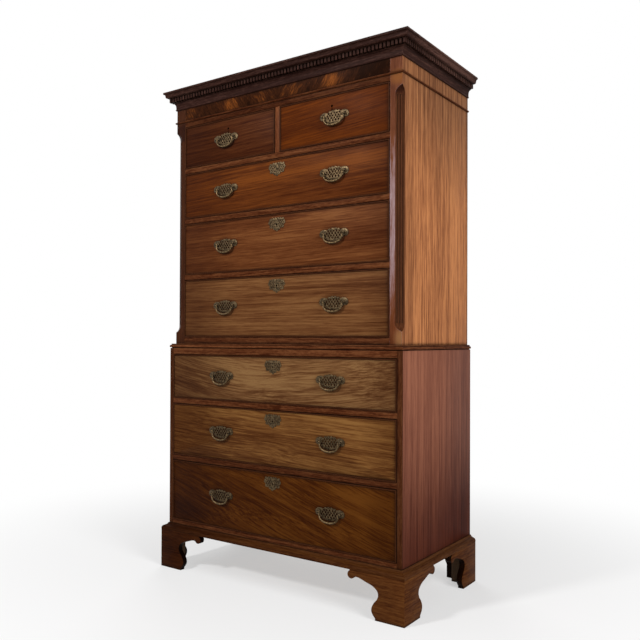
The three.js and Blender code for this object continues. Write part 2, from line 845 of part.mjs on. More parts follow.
function bailGeometry() {
  const start = postSpread / 2 - postRadius - seatGap;
  const right = bailAcrossShares.map((across, at) => new THREE.Vector3(
    across * start,
    0,
    -bailDownShares[at] * bailDrop,
  ));
  const left = right.slice(0, -1).reverse().map((point) => new THREE.Vector3(-point.x, 0, point.z));
  const route = new THREE.CatmullRomCurve3([...right, ...left], false, 'centripetal');
  const inward = new THREE.Vector3(-1, 0, 0);
  const rings = [bailRing(right[0], inward, bailEndRadius)];
  for (let step = 1; step < bailSteps; step += 1) {
    const along = step / bailSteps;
    const swell = Math.sin(along * Math.PI) ** 2;
    const radius = bailEndRadius + (bailMiddleRadius - bailEndRadius) * swell;
    rings.push(bailRing(route.getPoint(along), route.getTangent(along), radius));
  }
  rings.push(bailRing(left.at(-1), inward, bailEndRadius));
  for (const side of [-1, 1]) {
    const root = new THREE.Vector3(side * start, 0, 0);
    const tip = new THREE.Vector3(side * (start + pinLength), 0, 0);
    const pin = [bailRing(root, inward, pinRadius), bailRing(tip, inward, pinRadius)];
    if (side > 0) rings.unshift(...pin.reverse());
    else rings.push(...pin);
  }
  const section = rings[0].map(([, y, z]) => new THREE.Vector2(y, z));
  return ringSkin(rings, THREE.ShapeUtils.triangulateShape(section, []));
}

const plateGeometry = handlePlateGeometry();
const bowGeometry = bailGeometry();

// A handle: its plate on the drawer front and its bail on the posts
function handle(label, x, z) {
  const group = new THREE.Group();
  const plate = piece(`handle_plate_${label}`, plateGeometry, brass);
  const bail = piece(`bail_${label}`, bowGeometry, brass);
  bail.position.y = -pivotReach;
  group.add(plate, bail);
  group.position.set(x, 0, z);
  return group;
}

// A drawer in its opening, with its handles
function drawer(label, geometry, material, opening, frontDepth, centreX, handles) {
  const group = new THREE.Group();
  group.add(piece(`drawer_${label}`, geometry, material));
  for (const [handleLabel, x] of handles) {
    const middle = (opening.top - opening.bottom) / 2 + handleRaise;
    group.add(handle(`${label}${handleLabel}`, x - centreX, middle));
  }
  group.position.set(centreX, -frontDepth, opening.bottom);
  return group;
}

const pairOfHandles = [['_left', -handleSpread / 2], ['_right', handleSpread / 2]];

function longDrawer(label, material, opening, halfWidth, caseDepth) {
  const depth = caseDepth - backThickness - drawerRearGap;
  const geometry = drawerGeometry(2 * halfWidth, opening.top - opening.bottom, depth, true);
  return drawer(label, geometry, material, opening, caseDepth, 0, pairOfHandles);
}

function shortDrawer(label, side) {
  const opening = upperOpenings.at(-1);
  const depth = upperDepth - backThickness - drawerRearGap;
  const geometry = drawerGeometry(shortDrawerWidth, shortDrawerHeight, depth, false);
  const handles = [['', side * handleSpread / 2]];
  return drawer(label, geometry, woods.upperFront, opening, upperDepth, side * shortDrawerCentre, handles);
}

function lowerStage() {
  const stage = new THREE.Group();
  const across = [-lowerInnerHalf, lowerInnerHalf];
  const back = [-backThickness, 0];
  const bottomHeights = [lowerCaseBottom, lowerOpenings[0].bottom];
  const corner = lowerDepth + baseReach;
  stage.add(
    foot('foot_front_left', frontFoot(), -1, -corner),
    foot('foot_front_right', frontFoot(), 1, -corner),
    foot('foot_rear_left', rearFoot(), -1, 0),
    foot('foot_rear_right', rearFoot(), 1, 0),
    baseFrame(),
    lowerSide('lower_side_left', -1),
    lowerSide('lower_side_right', 1),
    board('lower_bottom', woods.rail, across, [-lowerDepth, -backThickness], bottomHeights),
    board('lower_back', woods.inside, across, back, [lowerCaseBottom, lowerOpenings.at(-1).top]),
    lowerDivider('lower_divider_2', lowerOpenings[0]),
    lowerDivider('lower_divider_1', lowerOpenings[1]),
    lowerTop(),
  );
  lowerOpenings.forEach((opening, at) => {
    const label = `lower_${lowerOpenings.length - at}`;
    stage.add(longDrawer(label, woods.lowerFront, opening, lowerInnerHalf, lowerDepth));
  });
  return stage;
}

function upperStage() {
  const stage = new THREE.Group();
  const across = [-upperInnerHalf, upperInnerHalf];
  const stile = cornerStile();
  stage.add(
    upperSide('upper_side_left', -1),
    upperSide('upper_side_right', 1),
    piece('fluted_corner_left', mirrorX(stile), woods.upperFront),
    piece('fluted_corner_right', stile, woods.upperFront),
    upperBottom(),
    upperTop(),
    board('upper_back', woods.inside, across, [-backThickness, 0], [0, upperCaseTop]),
    upperDivider('upper_divider_3', upperOpenings[0]),
    upperDivider('upper_divider_2', upperOpenings[1]),
    upperDivider('upper_divider_1', upperOpenings[2], muntinParts()),
    frieze(),
    cornice(),
  );
  const longOpenings = upperOpenings.slice(0, -1);
  longOpenings.forEach((opening, at) => {
    const label = `upper_${longOpenings.length - at}`;
    stage.add(longDrawer(label, woods.upperFront, opening, upperOpeningHalf, upperDepth));
  });
  stage.add(shortDrawer('short_left', -1), shortDrawer('short_right', 1));
  stage.position.z = lowerCaseTop;
  return stage;
}

const chestOnChest = new THREE.Group();
chestOnChest.add(lowerStage(), upperStage());
chestOnChest.position.y = backPlane;

export default chestOnChest;
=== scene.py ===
"""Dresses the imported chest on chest: boards, mouldings, drawers and brasses with their finishes,
a pale stage and the camera. Everything is in metres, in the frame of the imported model."""
from math import cos, pi, radians, sin

import bmesh
import bpy
from bpy.props import FloatProperty, FloatVectorProperty, IntProperty, PointerProperty
from mathutils import Matrix, Vector


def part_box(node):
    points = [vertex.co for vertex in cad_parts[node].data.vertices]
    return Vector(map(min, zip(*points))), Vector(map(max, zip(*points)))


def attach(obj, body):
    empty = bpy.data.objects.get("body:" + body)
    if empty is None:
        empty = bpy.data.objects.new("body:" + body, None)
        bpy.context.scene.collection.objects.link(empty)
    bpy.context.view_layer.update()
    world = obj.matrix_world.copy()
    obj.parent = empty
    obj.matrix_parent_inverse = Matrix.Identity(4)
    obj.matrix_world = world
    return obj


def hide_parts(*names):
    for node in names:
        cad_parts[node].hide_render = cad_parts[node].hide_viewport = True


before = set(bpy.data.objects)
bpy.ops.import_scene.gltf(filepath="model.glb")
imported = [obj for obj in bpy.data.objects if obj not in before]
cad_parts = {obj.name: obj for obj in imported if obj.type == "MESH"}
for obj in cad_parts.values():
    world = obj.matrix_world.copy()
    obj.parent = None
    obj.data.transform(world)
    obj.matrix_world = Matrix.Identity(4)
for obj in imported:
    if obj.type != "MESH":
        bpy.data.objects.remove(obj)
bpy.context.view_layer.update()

bl_info = {
    "name": "Chest on chest",
    "version": (1, 0, 0),
    "blender": (4, 5, 0),
    "location": "3D View > Sidebar > Chest",
    "description": "Dresses a mahogany chest on chest round its packed solids",
    "category": "Object",
}

ALONG_X, ALONG_Y, ALONG_Z = "X", "Y", "Z"
SIDES = ("left", "right")

# Edges of the two cases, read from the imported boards
LOWER_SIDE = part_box("lower_side_right")
UPPER_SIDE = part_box("upper_side_right")
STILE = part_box("fluted_corner_right")
LOWER_HALF = LOWER_SIDE[1].x
LOWER_INNER = LOWER_SIDE[0].x
LOWER_FRONT = LOWER_SIDE[0].y
LOWER_TOP = LOWER_SIDE[1].z
UPPER_HALF = UPPER_SIDE[1].x
UPPER_INNER = UPPER_SIDE[0].x
UPPER_FRONT = STILE[0].y
STILE_BACK = STILE[1].y
STILE_INNER = STILE[0].x
BACK_PLANE = LOWER_SIDE[1].y
BACK_BOARD_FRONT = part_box("lower_back")[0].y
DRAWER_NODES = sorted(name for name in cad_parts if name.startswith("drawer_"))
PLATE_NODES = sorted(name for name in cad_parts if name.startswith("handle_plate_"))


# Sizes and colours that a user would change
def length(name, description, default):
    return FloatProperty(name=name, description=description, default=default, unit="LENGTH", min=0)


def colour(name, description, default):
    return FloatVectorProperty(name=name, description=description, default=default,
                               subtype="COLOR", size=3, min=0, max=1)


class ChestSizes(bpy.types.PropertyGroup):
    edge: length("Edge rounding", "Radius that wear has given the boards' edges", 0.0008)
    plank: length("Back plank", "Widest plank in the backs", 0.17)
    blade: length("Blade depth", "Depth of the mahogany strip in front of each divider", 0.06)
    runner: length("Runner width", "Width of the runners under the drawers", 0.045)
    cockbead: length("Cockbead width", "Width of the bead round a drawer front", 0.004)
    bead_reach: length("Cockbead reach", "How far a bead stands out of the front", 0.003)
    front: length("Front thickness", "Thickness of the drawer fronts", 0.02)
    lining: length("Lining thickness", "Thickness of the drawer sides and backs", 0.009)
    flute: length("Flute radius", "Radius of the grooves in the canted corners", 0.003)
    dentil: length("Dentil width", "Width of one dentil", 0.009)
    dentil_pitch: length("Dentil pitch", "Distance between dentils", 0.0144)
    plate: length("Plate thickness", "Thickness of the handle plates", 0.0016)
    post_spread: length("Post spread", "Distance between the posts of a handle", 0.09)
    bail_drop: length("Bail drop", "How far a bail hangs below its pins", 0.033)
    dovetails: IntProperty(name="Dovetail pitch", description="Millimetres of height for each tail",
                           default=42, min=10)


class ChestColours(bpy.types.PropertyGroup):
    upper_side: colour("Upper side", "Side boards of the upper stage", (0.343, 0.13, 0.052))
    lower_side: colour("Lower side", "Side boards of the lower stage", (0.185, 0.067, 0.041))
    upper_front: colour("Upper fronts", "Drawer fronts of the upper stage", (0.18, 0.055, 0.015))
    lower_front: colour("Lower fronts", "Drawer fronts of the lower stage", (0.2, 0.085, 0.025))
    rail: colour("Rails", "Rails, beads and stiles between the drawers", (0.088, 0.026, 0.009))
    cornice: colour("Cornice", "Cornice and its dentils", (0.022, 0.0075, 0.005))
    foot: colour("Feet", "Bracket feet and base moulding", (0.075, 0.023, 0.0055))
    softwood: colour("Softwood", "Linings, dust boards and backs", (0.38, 0.205, 0.09))
    brass: colour("Brass", "Handles and escutcheons", (0.215, 0.14, 0.065))
    floor: colour("Floor", "Floor round the chest", (0.86, 0.86, 0.86))


def sizes():
    return bpy.context.scene.chest_sizes


def colours():
    return bpy.context.scene.chest_colours


# Small helpers for shapes
WELD = 0.000001
OUTLINE_WELD = 0.00001
# Turns that stand a flat outline up: facing the front, or facing right with its x running back
FACING_FRONT = Matrix.Rotation(radians(90), 4, "X")
FACING_RIGHT = Matrix.Rotation(radians(90), 4, "Z") @ FACING_FRONT


def add_object(name, data):
    made = bpy.data.objects.new(name, data)
    bpy.context.scene.collection.objects.link(made)
    return made


def to_mesh(bm, name):
    mesh = bpy.data.meshes.new(name)
    bm.to_mesh(mesh)
    bm.free()
    return mesh


def join_into(bm, part):
    """Moves the faces of one bmesh into another"""
    mesh = to_mesh(part, "part")
    bm.from_mesh(mesh)
    bpy.data.meshes.remove(mesh)


def evaluated(holder):
    """A bmesh of an object after its modifiers, or of a curve with its thickness"""
    bpy.context.view_layer.update()
    mesh = bpy.data.meshes.new_from_object(
        holder.evaluated_get(bpy.context.evaluated_depsgraph_get()))
    bm = bmesh.new()
    bm.from_mesh(mesh)
    bpy.data.meshes.remove(mesh)
    return bm


def add_board(bm, low, high, rounding=None):
    """A board between two corners, its edges a little rounded"""
    low, high = Vector(low), Vector(high)
    place = Matrix.Translation((low + high) / 2) @ Matrix.Diagonal((*(high - low), 1))
    verts = bmesh.ops.create_cube(bm, size=1, matrix=place)["verts"]
    bmesh.ops.bevel(bm, geom=list({edge for vert in verts for edge in vert.link_edges}),
                    offset=sizes().edge if rounding is None else rounding, offset_type="OFFSET",
                    segments=2, profile=0.5, affect="EDGES", clamp_overlap=True, material=-1)


def boards(*corners, rounding=None):
    """A bmesh of boards, each given by two corners"""
    bm = bmesh.new()
    for low, high in corners:
        add_board(bm, low, high, rounding)
    return bm


def board(low, high, rounding=None):
    """A bmesh of one board"""
    return boards((low, high), rounding=rounding)


def both_sides(low, high):
    """The same range of a board on the right and on the left"""
    (x0, y0, z0), (x1, y1, z1) = low, high
    return ((x0, y0, z0), (x1, y1, z1)), ((-x1, y0, z0), (-x0, y1, z1))


def corner(*points):
    return [(x, y, "VECTOR") for x, y in points]


def smooth(*points):
    return [(x, y, "AUTO") for x, y in points]


def arc(centre, radius, start, end, steps=8):
    """Smooth points along an arc, its angles in degrees"""
    turns = [radians(start + (end - start) * at / steps) for at in range(steps + 1)]
    return smooth(*((centre[0] + radius * cos(turn), centre[1] + radius * sin(turn))
                    for turn in turns))


def rectangle(x0, z0, x1, z1):
    return corner((x0, z0), (x1, z0), (x1, z1), (x0, z1))


def facing_front(place):
    return Matrix.Translation(place) @ FACING_FRONT


def facing_right(place):
    return Matrix.Translation(place) @ FACING_RIGHT


def from_curve(curve, routes, closed):
    """A bmesh of a curve through points, each with its place, its kind of handles and a radius"""
    for points in routes:
        spline = curve.splines.new("BEZIER")
        spline.bezier_points.add(len(points) - 1)
        spline.use_cyclic_u = closed
        for knot, (place, kind, radius) in zip(spline.bezier_points, points):
            knot.co = place
            knot.radius = radius
            knot.handle_left_type = knot.handle_right_type = kind
    bm = evaluated(add_object("curve", curve))
    bpy.data.curves.remove(curve)
    return bm


def add_outline(bm, outlines, thickness, place, rounding=0.0, steps=6):
    """A flat outline with its holes, given thickness along +Z from zero and then put in place"""
    curve = bpy.data.curves.new("outline", "CURVE")
    curve.dimensions = "2D"
    curve.fill_mode = "BOTH"
    curve.resolution_u = steps
    curve.extrude = thickness / 2 - rounding
    curve.bevel_depth = rounding
    curve.bevel_resolution = 1
    curve.offset = -rounding
    routes = [[((x, y, 0), kind, 1) for x, y, kind in points] for points in outlines]
    part = from_curve(curve, routes, True)
    bmesh.ops.remove_doubles(part, verts=part.verts, dist=OUTLINE_WELD)
    bmesh.ops.translate(part, verts=part.verts, vec=(0, 0, thickness / 2))
    bmesh.ops.transform(part, matrix=place, verts=part.verts)
    bmesh.ops.recalc_face_normals(part, faces=part.faces)
    join_into(bm, part)


def mirrored(bm):
    """Mirrors everything across x = 0"""
    bmesh.ops.scale(bm, vec=(-1, 1, 1), verts=bm.verts)
    bmesh.ops.reverse_faces(bm, faces=bm.faces)


def trim(bm, point, normal):
    """Cuts away what lies behind a plane and closes the cut"""
    everything = bm.verts[:] + bm.edges[:] + bm.faces[:]
    cut = bmesh.ops.bisect_plane(bm, geom=everything, dist=WELD, plane_co=point,
                                 plane_no=normal, clear_inner=True)["geom_cut"]
    rim = [item for item in cut if isinstance(item, bmesh.types.BMEdge)]
    bmesh.ops.edgeloop_fill(bm, edges=rim)


def carve(bm, cutters):
    """The solid that is left when the cutters' shapes are taken away"""
    holder, *tools = [add_object("carving", to_mesh(part, "carving")) for part in (bm, *cutters)]
    for tool in tools:
        change = holder.modifiers.new("cut", "BOOLEAN")
        change.operation = "DIFFERENCE"
        change.solver = "EXACT"
        change.object = tool
    left = evaluated(holder)
    for spent in (holder, *tools):
        bpy.data.meshes.remove(spent.data)
    bmesh.ops.remove_doubles(left, verts=left.verts, dist=WELD)
    return left


def spun(bm, profile, centre, steps=20):
    """A turned shape whose profile gives radius and distance out along -Y"""
    part = bmesh.new()
    verts = [part.verts.new((radius, -out, 0)) for radius, out in profile]
    edges = [part.edges.new(pair) for pair in zip(verts, verts[1:])]
    bmesh.ops.spin(part, geom=verts + edges, cent=(0, 0, 0), axis=(0, 1, 0), angle=2 * pi,
                   steps=steps, use_merge=True)
    bmesh.ops.remove_doubles(part, verts=part.verts, dist=WELD)
    bmesh.ops.translate(part, verts=part.verts, vec=centre)
    bmesh.ops.recalc_face_normals(part, faces=part.faces)
    join_into(bm, part)


def add_piece(name, bm, material, node=None, body="carcase", smooth_below=35):
    """Makes an object of a finished bmesh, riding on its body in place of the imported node"""
    mesh = to_mesh(bm, name)
    mesh.shade_smooth()
    mesh.set_sharp_from_angle(angle=radians(smooth_below))
    mesh.materials.append(material)
    piece = add_object(name, mesh)
    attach(piece, body)
    if node:
        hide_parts(node)
    return piece


def add_moulding(name, node, finish, section, half, front, height):
    """Three lengths of moulding round a case, mitred at its front corners, each with the grain
    along it. The section gives reach beyond the case's faces and height."""
    reach = max(abs(x) for x, _, _ in section)
    for part in ("front", "left", "right"):
        run = 2 * half if part == "front" else BACK_PLANE - front
        end = run + reach if part == "front" else run
        bm = bmesh.new()
        add_outline(bm, [section], end + reach, facing_front((0, end, 0)))
        trim(bm, (0, 0, 0), (1, 1, 0))
        if part == "front":
            trim(bm, (0, run, 0), (1, -1, 0))
            turn = Matrix.Translation((-half, front, height)) @ Matrix.Rotation(radians(-90), 4, "Z")
            bmesh.ops.transform(bm, matrix=turn, verts=bm.verts)
        else:
            bmesh.ops.translate(bm, verts=bm.verts, vec=(half, front, height))
        if part == "left":
            mirrored(bm)
        add_piece(f"{name}_{part}", bm, finish(ALONG_X if part == "front" else ALONG_Y), node)


# Shader nodes
def add_node(tree, kind, inputs=None, **settings):
    made = tree.nodes.new("ShaderNode" + kind)
    for key, value in settings.items():
        setattr(made, key, value)
    for key, value in (inputs or {}).items():
        if isinstance(value, bpy.types.NodeSocket):
            tree.links.new(value, made.inputs[key])
        else:
            made.inputs[key].default_value = value
    return made


def calculate(tree, operation, *values, clamp=False):
    made = add_node(tree, "Math", dict(enumerate(values)), operation=operation, use_clamp=clamp)
    return made.outputs[0]


def swing(tree, base, layer, gain):
    """A value that rises where a noise layer is above its middle and falls where it is below"""
    return calculate(tree, "MULTIPLY_ADD", calculate(tree, "SUBTRACT", layer, 0.5), gain, base)


def mix_colour(tree, factor, a, b, blend="MIX"):
    made = add_node(tree, "Mix", {0: factor, 6: a, 7: b}, data_type="RGBA", blend_type=blend)
    return made.outputs[2]


def ease(tree, value, low, high):
    """0 below low, 1 above high and a soft step between"""
    made = add_node(tree, "MapRange", {"Value": value, "From Min": low, "From Max": high},
                    interpolation_type="SMOOTHSTEP")
    return made.outputs[0]


def ramp(tree, value, low, high):
    """0 below low, 1 above high and an even slope between"""
    return add_node(tree, "MapRange", {"Value": value, "From Min": low, "From Max": high}).outputs[0]


def noise(tree, vector, scale, detail=2.0, roughness=0.5):
    """Noise that is stretched by a different scale for each axis, or by one for all"""
    scales = scale if isinstance(scale, tuple) else (scale, scale, scale)
    stretched = add_node(tree, "VectorMath", {0: vector, 1: scales}, operation="MULTIPLY")
    made = add_node(tree, "TexNoise", {"Vector": stretched.outputs[0], "Scale": 1.0,
                                       "Detail": detail, "Roughness": roughness})
    return made.outputs[0]


def object_place(tree):
    return add_node(tree, "TexCoord").outputs["Object"]


def shown(tree):
    """1 for rays that show their target itself: from the camera, in gloss or through glass"""
    path = add_node(tree, "LightPath").outputs
    indirect = calculate(tree, "MAXIMUM", path["Is Glossy Ray"], path["Is Transmission Ray"])
    return calculate(tree, "MAXIMUM", path["Is Camera Ray"], indirect)


def shade(color, factor):
    """A colour times one factor, or times one for each of red, green and blue"""
    factors = factor if isinstance(factor, tuple) else (factor, factor, factor)
    return tuple(min(1.0, part * share) for part, share in zip(color, factors))


def new_group(name, vectors, tints, values, outputs):
    """A node group with its sockets, and its input and output nodes"""
    tree = bpy.data.node_groups.new(name, "ShaderNodeTree")
    for label in vectors:
        tree.interface.new_socket(label, in_out="INPUT", socket_type="NodeSocketVector")
    for kind, defaults in (("Color", tints), ("Float", values)):
        for label, default in defaults.items():
            socket = tree.interface.new_socket(label, in_out="INPUT", socket_type="NodeSocket" + kind)
            socket.default_value = default
    for label, kind in outputs.items():
        tree.interface.new_socket(label, in_out="OUTPUT", socket_type="NodeSocket" + kind)
    return tree, tree.nodes.new("NodeGroupInput").outputs, tree.nodes.new("NodeGroupOutput").inputs


def add_group(tree, group, **inputs):
    made = tree.nodes.new("ShaderNodeGroup")
    made.node_tree = group
    for key, value in inputs.items():
        socket = made.inputs[key]
        if isinstance(value, bpy.types.NodeSocket):
            tree.links.new(value, socket)
        else:
            socket.default_value = (*value, 1) if socket.type == "RGBA" else value
    return made.outputs


GREY = (0.5, 0.5, 0.5, 1)
# Colour that ambient occlusion brings into corners and creases: dark wax, and painted shade
WAX_AND_SHADE = (0.01, 0.006, 0.004, 1)
# Each noise gives its scale along X, Y and Z, its detail and its roughness. Grain runs along X.
# A layer of the figure adds the socket that sets its share, and its gain.
SWIRL = ((2.2, 7.0, 7.0), 1.0)
FIBRE = ((45.0, 800.0, 800.0), 2.0, 0.6)
FIBRE_GAIN = 1.1
FIGURE_LAYERS = (
    ((1.3, 12.0, 12.0), 1.0, 0.5, "Ribbon", 1.2),
    ((3.0, 60.0, 60.0), 3.0, 0.65, "Ribbon", 1.5),
    ((10.0, 190.0, 190.0), 3.0, 0.75, "Streak", 2.2),
    ((55.0, 240.0, 240.0), 3.0, 0.7, "Streak", 1.5),
)
PORE_RANGE = (0.58, 0.72)
RELIEF_LAYER = 2
RELIEF_OF_STREAKS, RELIEF_OF_FIBRE = 0.4, 0.6
RAGGED = ((3.0, 45.0, 45.0), 2.0, 0.6)
PATCH_FADE = (0.2, 1.0)
RUB_AND_LIGHT_PATCHES = (9.0, 3.0, 0.6)
RUB_AND_LIGHT_PATCH_RANGE = (0.35, 0.7)
# How far a surface turns at an edge that is drawn paler, partly as wear and partly as painted highlight,
# as 1 less the cosine
EDGE_TURN = (0.01, 0.25)
SHELTER_RANGE = (0.4, 1.0)
SMEARS = (5.0, 4.0, 0.65)
SMEAR_GAIN = 0.25
WAX_DULLNESS = 0.25


def figure_group():
    """Grain that runs along X: broad ribbons, fine streaks, flecks and short dark pores"""
    if "Wood figure" in bpy.data.node_groups:
        return bpy.data.node_groups["Wood figure"]
    tree, given, result = new_group(
        "Wood figure", ["Vector"], {"Wood": GREY, "Light": GREY, "Dark": GREY},
        {"Ribbon": 0.5, "Streak": 0.5, "Pore": 0.5, "Slope": 0.0, "Bend": 0.0, "Wave": 0.02,
         "Length": 1.0, "Lift": 0.0}, {"Color": "Color", "Height": "Float"})
    parts = add_node(tree, "SeparateXYZ", {0: given["Vector"]}).outputs
    rise = calculate(tree, "MULTIPLY", parts[0], given["Slope"])
    square = calculate(tree, "MULTIPLY", parts[0], parts[0])
    bow = calculate(tree, "MULTIPLY", square, given["Bend"])
    swirl = noise(tree, given["Vector"], *SWIRL)
    drift = swing(tree, 0.0, swirl, given["Wave"])
    up = calculate(tree, "SUBTRACT", parts[2], calculate(tree, "ADD", rise, bow))
    up = calculate(tree, "ADD", up, drift)
    across = calculate(tree, "ADD", parts[1], drift)
    along = calculate(tree, "DIVIDE", parts[0], given["Length"])
    grain = add_node(tree, "CombineXYZ", {0: along, 1: across, 2: up}).outputs[0]
    layers = [noise(tree, grain, *kind) for *kind, _, _ in FIGURE_LAYERS]
    fibre = noise(tree, grain, *FIBRE)
    tone = calculate(tree, "ADD", given["Lift"], 0.5)
    for layer, (*_, share, gain) in zip(layers, FIGURE_LAYERS):
        tone = swing(tree, tone, layer, calculate(tree, "MULTIPLY", given[share], gain))
    tone = swing(tree, tone, fibre, FIBRE_GAIN)
    color = mix_colour(tree, ramp(tree, tone, 0.0, 0.5), given["Dark"], given["Wood"])
    color = mix_colour(tree, ramp(tree, tone, 0.5, 1.0), color, given["Light"])
    pore = calculate(tree, "MULTIPLY", ease(tree, fibre, *PORE_RANGE), given["Pore"])
    color = mix_colour(tree, pore, color, given["Dark"])
    height = calculate(tree, "MULTIPLY_ADD", layers[RELIEF_LAYER], RELIEF_OF_STREAKS,
                       calculate(tree, "MULTIPLY", fibre, RELIEF_OF_FIBRE))
    tree.links.new(color, result["Color"])
    tree.links.new(height, result["Height"])
    return tree


def patch_group():
    """A soft patch with a ragged rim, where the figure turns lighter or darker"""
    if "Patch" in bpy.data.node_groups:
        return bpy.data.node_groups["Patch"]
    tree, given, result = new_group(
        "Patch", ["Vector", "Grain", "Centre", "Shrink"], {},
        {"Lean": 0.0, "Strength": 0.5, "Ragged": 1.0, "Lift": 0.0}, {"Lift": "Float"})
    away = add_node(tree, "VectorMath", {0: given["Vector"], 1: given["Centre"]},
                    operation="SUBTRACT").outputs[0]
    turned = add_node(tree, "VectorRotate", {"Vector": away, "Angle": given["Lean"]},
                      rotation_type="Y_AXIS").outputs[0]
    near = add_node(tree, "VectorMath", {0: turned, 1: given["Shrink"]}, operation="MULTIPLY")
    away = add_node(tree, "VectorMath", {0: near.outputs[0]}, operation="LENGTH").outputs["Value"]
    away = swing(tree, away, noise(tree, given["Grain"], *RAGGED), given["Ragged"])
    inside = calculate(tree, "SUBTRACT", 1.0, ease(tree, away, *PATCH_FADE))
    tree.links.new(calculate(tree, "MULTIPLY_ADD", inside, given["Strength"], given["Lift"]),
                   result["Lift"])
    return tree


def age_and_light_group():
    """Edges drawn paler, partly rubbed wear and partly painted highlight, and corners darkened by ambient
    occlusion, partly dark wax and partly painted shade
    """
    if "Age" in bpy.data.node_groups:
        return bpy.data.node_groups["Age"]
    tree, given, result = new_group(
        "Age", [], {"Color": GREY, "Rubbed": GREY, "Wax": WAX_AND_SHADE},
        {"Edge": 0.0015, "Rub": 0.5, "Reach": 0.01, "Hold": 0.6, "Roughness": 0.4},
        {"Color": "Color", "Roughness": "Float"})
    place = object_place(tree)
    rounded = add_node(tree, "Bevel", {"Radius": given["Edge"]}, samples=4).outputs[0]
    flat = add_node(tree, "NewGeometry").outputs["Normal"]
    turn = add_node(tree, "VectorMath", {0: rounded, 1: flat}, operation="DOT_PRODUCT").outputs["Value"]
    edge = ease(tree, calculate(tree, "SUBTRACT", 1.0, turn), *EDGE_TURN)
    patchy = ease(tree, noise(tree, place, *RUB_AND_LIGHT_PATCHES), *RUB_AND_LIGHT_PATCH_RANGE)
    edge = calculate(tree, "MULTIPLY", calculate(tree, "MULTIPLY", edge, patchy), given["Rub"])
    color = mix_colour(tree, edge, given["Color"], given["Rubbed"])
    shelter = add_node(tree, "AmbientOcclusion", {"Distance": given["Reach"]}, samples=6).outputs["AO"]
    dark = calculate(tree, "SUBTRACT", 1.0, ease(tree, shelter, *SHELTER_RANGE))
    dark = calculate(tree, "MULTIPLY", dark, given["Hold"])
    rough = swing(tree, given["Roughness"], noise(tree, place, *SMEARS), SMEAR_GAIN)
    rough = calculate(tree, "MULTIPLY_ADD", dark, WAX_DULLNESS, rough, clamp=True)
    tree.links.new(mix_colour(tree, dark, color, given["Wax"]), result["Color"])
    tree.links.new(rough, result["Roughness"])
    return tree


def add_patches(tree, place, grain, patches, ragged=1.0):
    """The sum of the patches. Each gives centre, half sizes, lean in degrees and strength."""
    lift = 0.0
    for centre, half_sizes, lean, strength in patches:
        lift = add_group(tree, patch_group(), Vector=place, Grain=grain, Centre=centre,
                         Shrink=tuple(1 / part for part in half_sizes), Lean=radians(lean),
                         Strength=strength, Ragged=ragged, Lift=lift)["Lift"]
    return lift


def new_material(name):
    material = bpy.data.materials.new(name)
    material.use_nodes = True
    material.node_tree.nodes.clear()
    return material, material.node_tree


def add_finish(tree, color, height, relief, depth, gloss=None, metallic=0.0, **age):
    """The shader of a worn surface with its relief, painted highlight on its edges and painted shade in
    its corners
    """
    shader = add_node(tree, "BsdfPrincipled", {"Metallic": metallic})
    if gloss is not None:
        shader.inputs["Specular IOR Level"].default_value = gloss
    aged_and_lit = add_group(tree, age_and_light_group(), Color=color, **age)
    bump = add_node(tree, "Bump", {"Height": height, "Strength": relief, "Distance": depth})
    tree.links.new(aged_and_lit["Color"], shader.inputs["Base Color"])
    tree.links.new(aged_and_lit["Roughness"], shader.inputs["Roughness"])
    tree.links.new(bump.outputs[0], shader.inputs["Normal"])
    add_node(tree, "OutputMaterial", {"Surface": shader.outputs[0]})


# Turns that bring the grain onto the figure's X axis
GRAIN_TURNS = {
    ALONG_X: (0, 0, 0),
    ALONG_Y: (0, 0, radians(-90)),
    ALONG_Z: (0, radians(90), 0),
}
GRAIN_DEPTH = 0.0006
# How much paler than the figure the edges are drawn: partly rubbed wear, partly painted highlight
RUBBED_AND_LIT = 1.5


def wood(name, color, grain, start=(0, 0, 0), light=(1.6, 1.9, 2.0), dark=(0.5, 0.4, 0.35),
         ribbon=0.5, streak=0.4, pore=0.4, slope=0.0, bend=0.0, wave=0.015, length=1.0, patches=(),
         ragged=0.4, roughness=0.45, rub=0.4, hold=0.8, reach=0.012, relief=0.12, gloss=0.06,
         edge=0.0015, washes=()):
    """A finished wood. Start moves the figure, so that no two boards show the same one. Each wash
    over the figure, such as painted shade at the ends or painted reflection, gives blend, colour and
    patches."""
    if name in bpy.data.materials:
        return bpy.data.materials[name]
    material, tree = new_material(name)
    place = object_place(tree)
    pale = shade(color, light)
    turned = add_node(tree, "Mapping", {"Vector": place, "Rotation": GRAIN_TURNS[grain],
                                        "Location": start}).outputs[0]
    figure = add_group(tree, figure_group(), Vector=turned, Wood=tuple(color), Light=pale,
                       Dark=shade(color, dark), Ribbon=ribbon, Streak=streak, Pore=pore, Slope=slope,
                       Bend=bend, Wave=wave, Length=length,
                       Lift=add_patches(tree, place, turned, patches, ragged))
    surface = figure["Color"]
    for blend, tint, spots in washes:
        share = add_patches(tree, place, turned, spots, ragged)
        surface = mix_colour(tree, share, surface, (*tint, 1), blend)
    add_finish(tree, surface, figure["Height"], relief, GRAIN_DEPTH, gloss, Rubbed=shade(pale, RUBBED_AND_LIT),
               Edge=edge, Rub=rub, Hold=hold, Reach=reach, Roughness=roughness)
    return material


# A half size that makes a patch run right through the chest
ANYWHERE = 9.0


def spot(x, z, wide, high, lean, strength):
    """A patch of a board that faces front, from its place and half sizes in X and Z"""
    return (x, 0, z), (wide, ANYWHERE, high), lean, strength


def flank_spot(y, z, deep, high, strength):
    """A patch of a board that faces a side, from its place and half sizes in Y and Z"""
    return (0, y, z), (ANYWHERE, deep, high), 0, strength


# A dark spot on the rail between the first two drawers of the lower stage, near the middle
RAIL_DARK_SPOT = spot(0.018, 0.653, 0.024, 0.012, 0, -0.7)
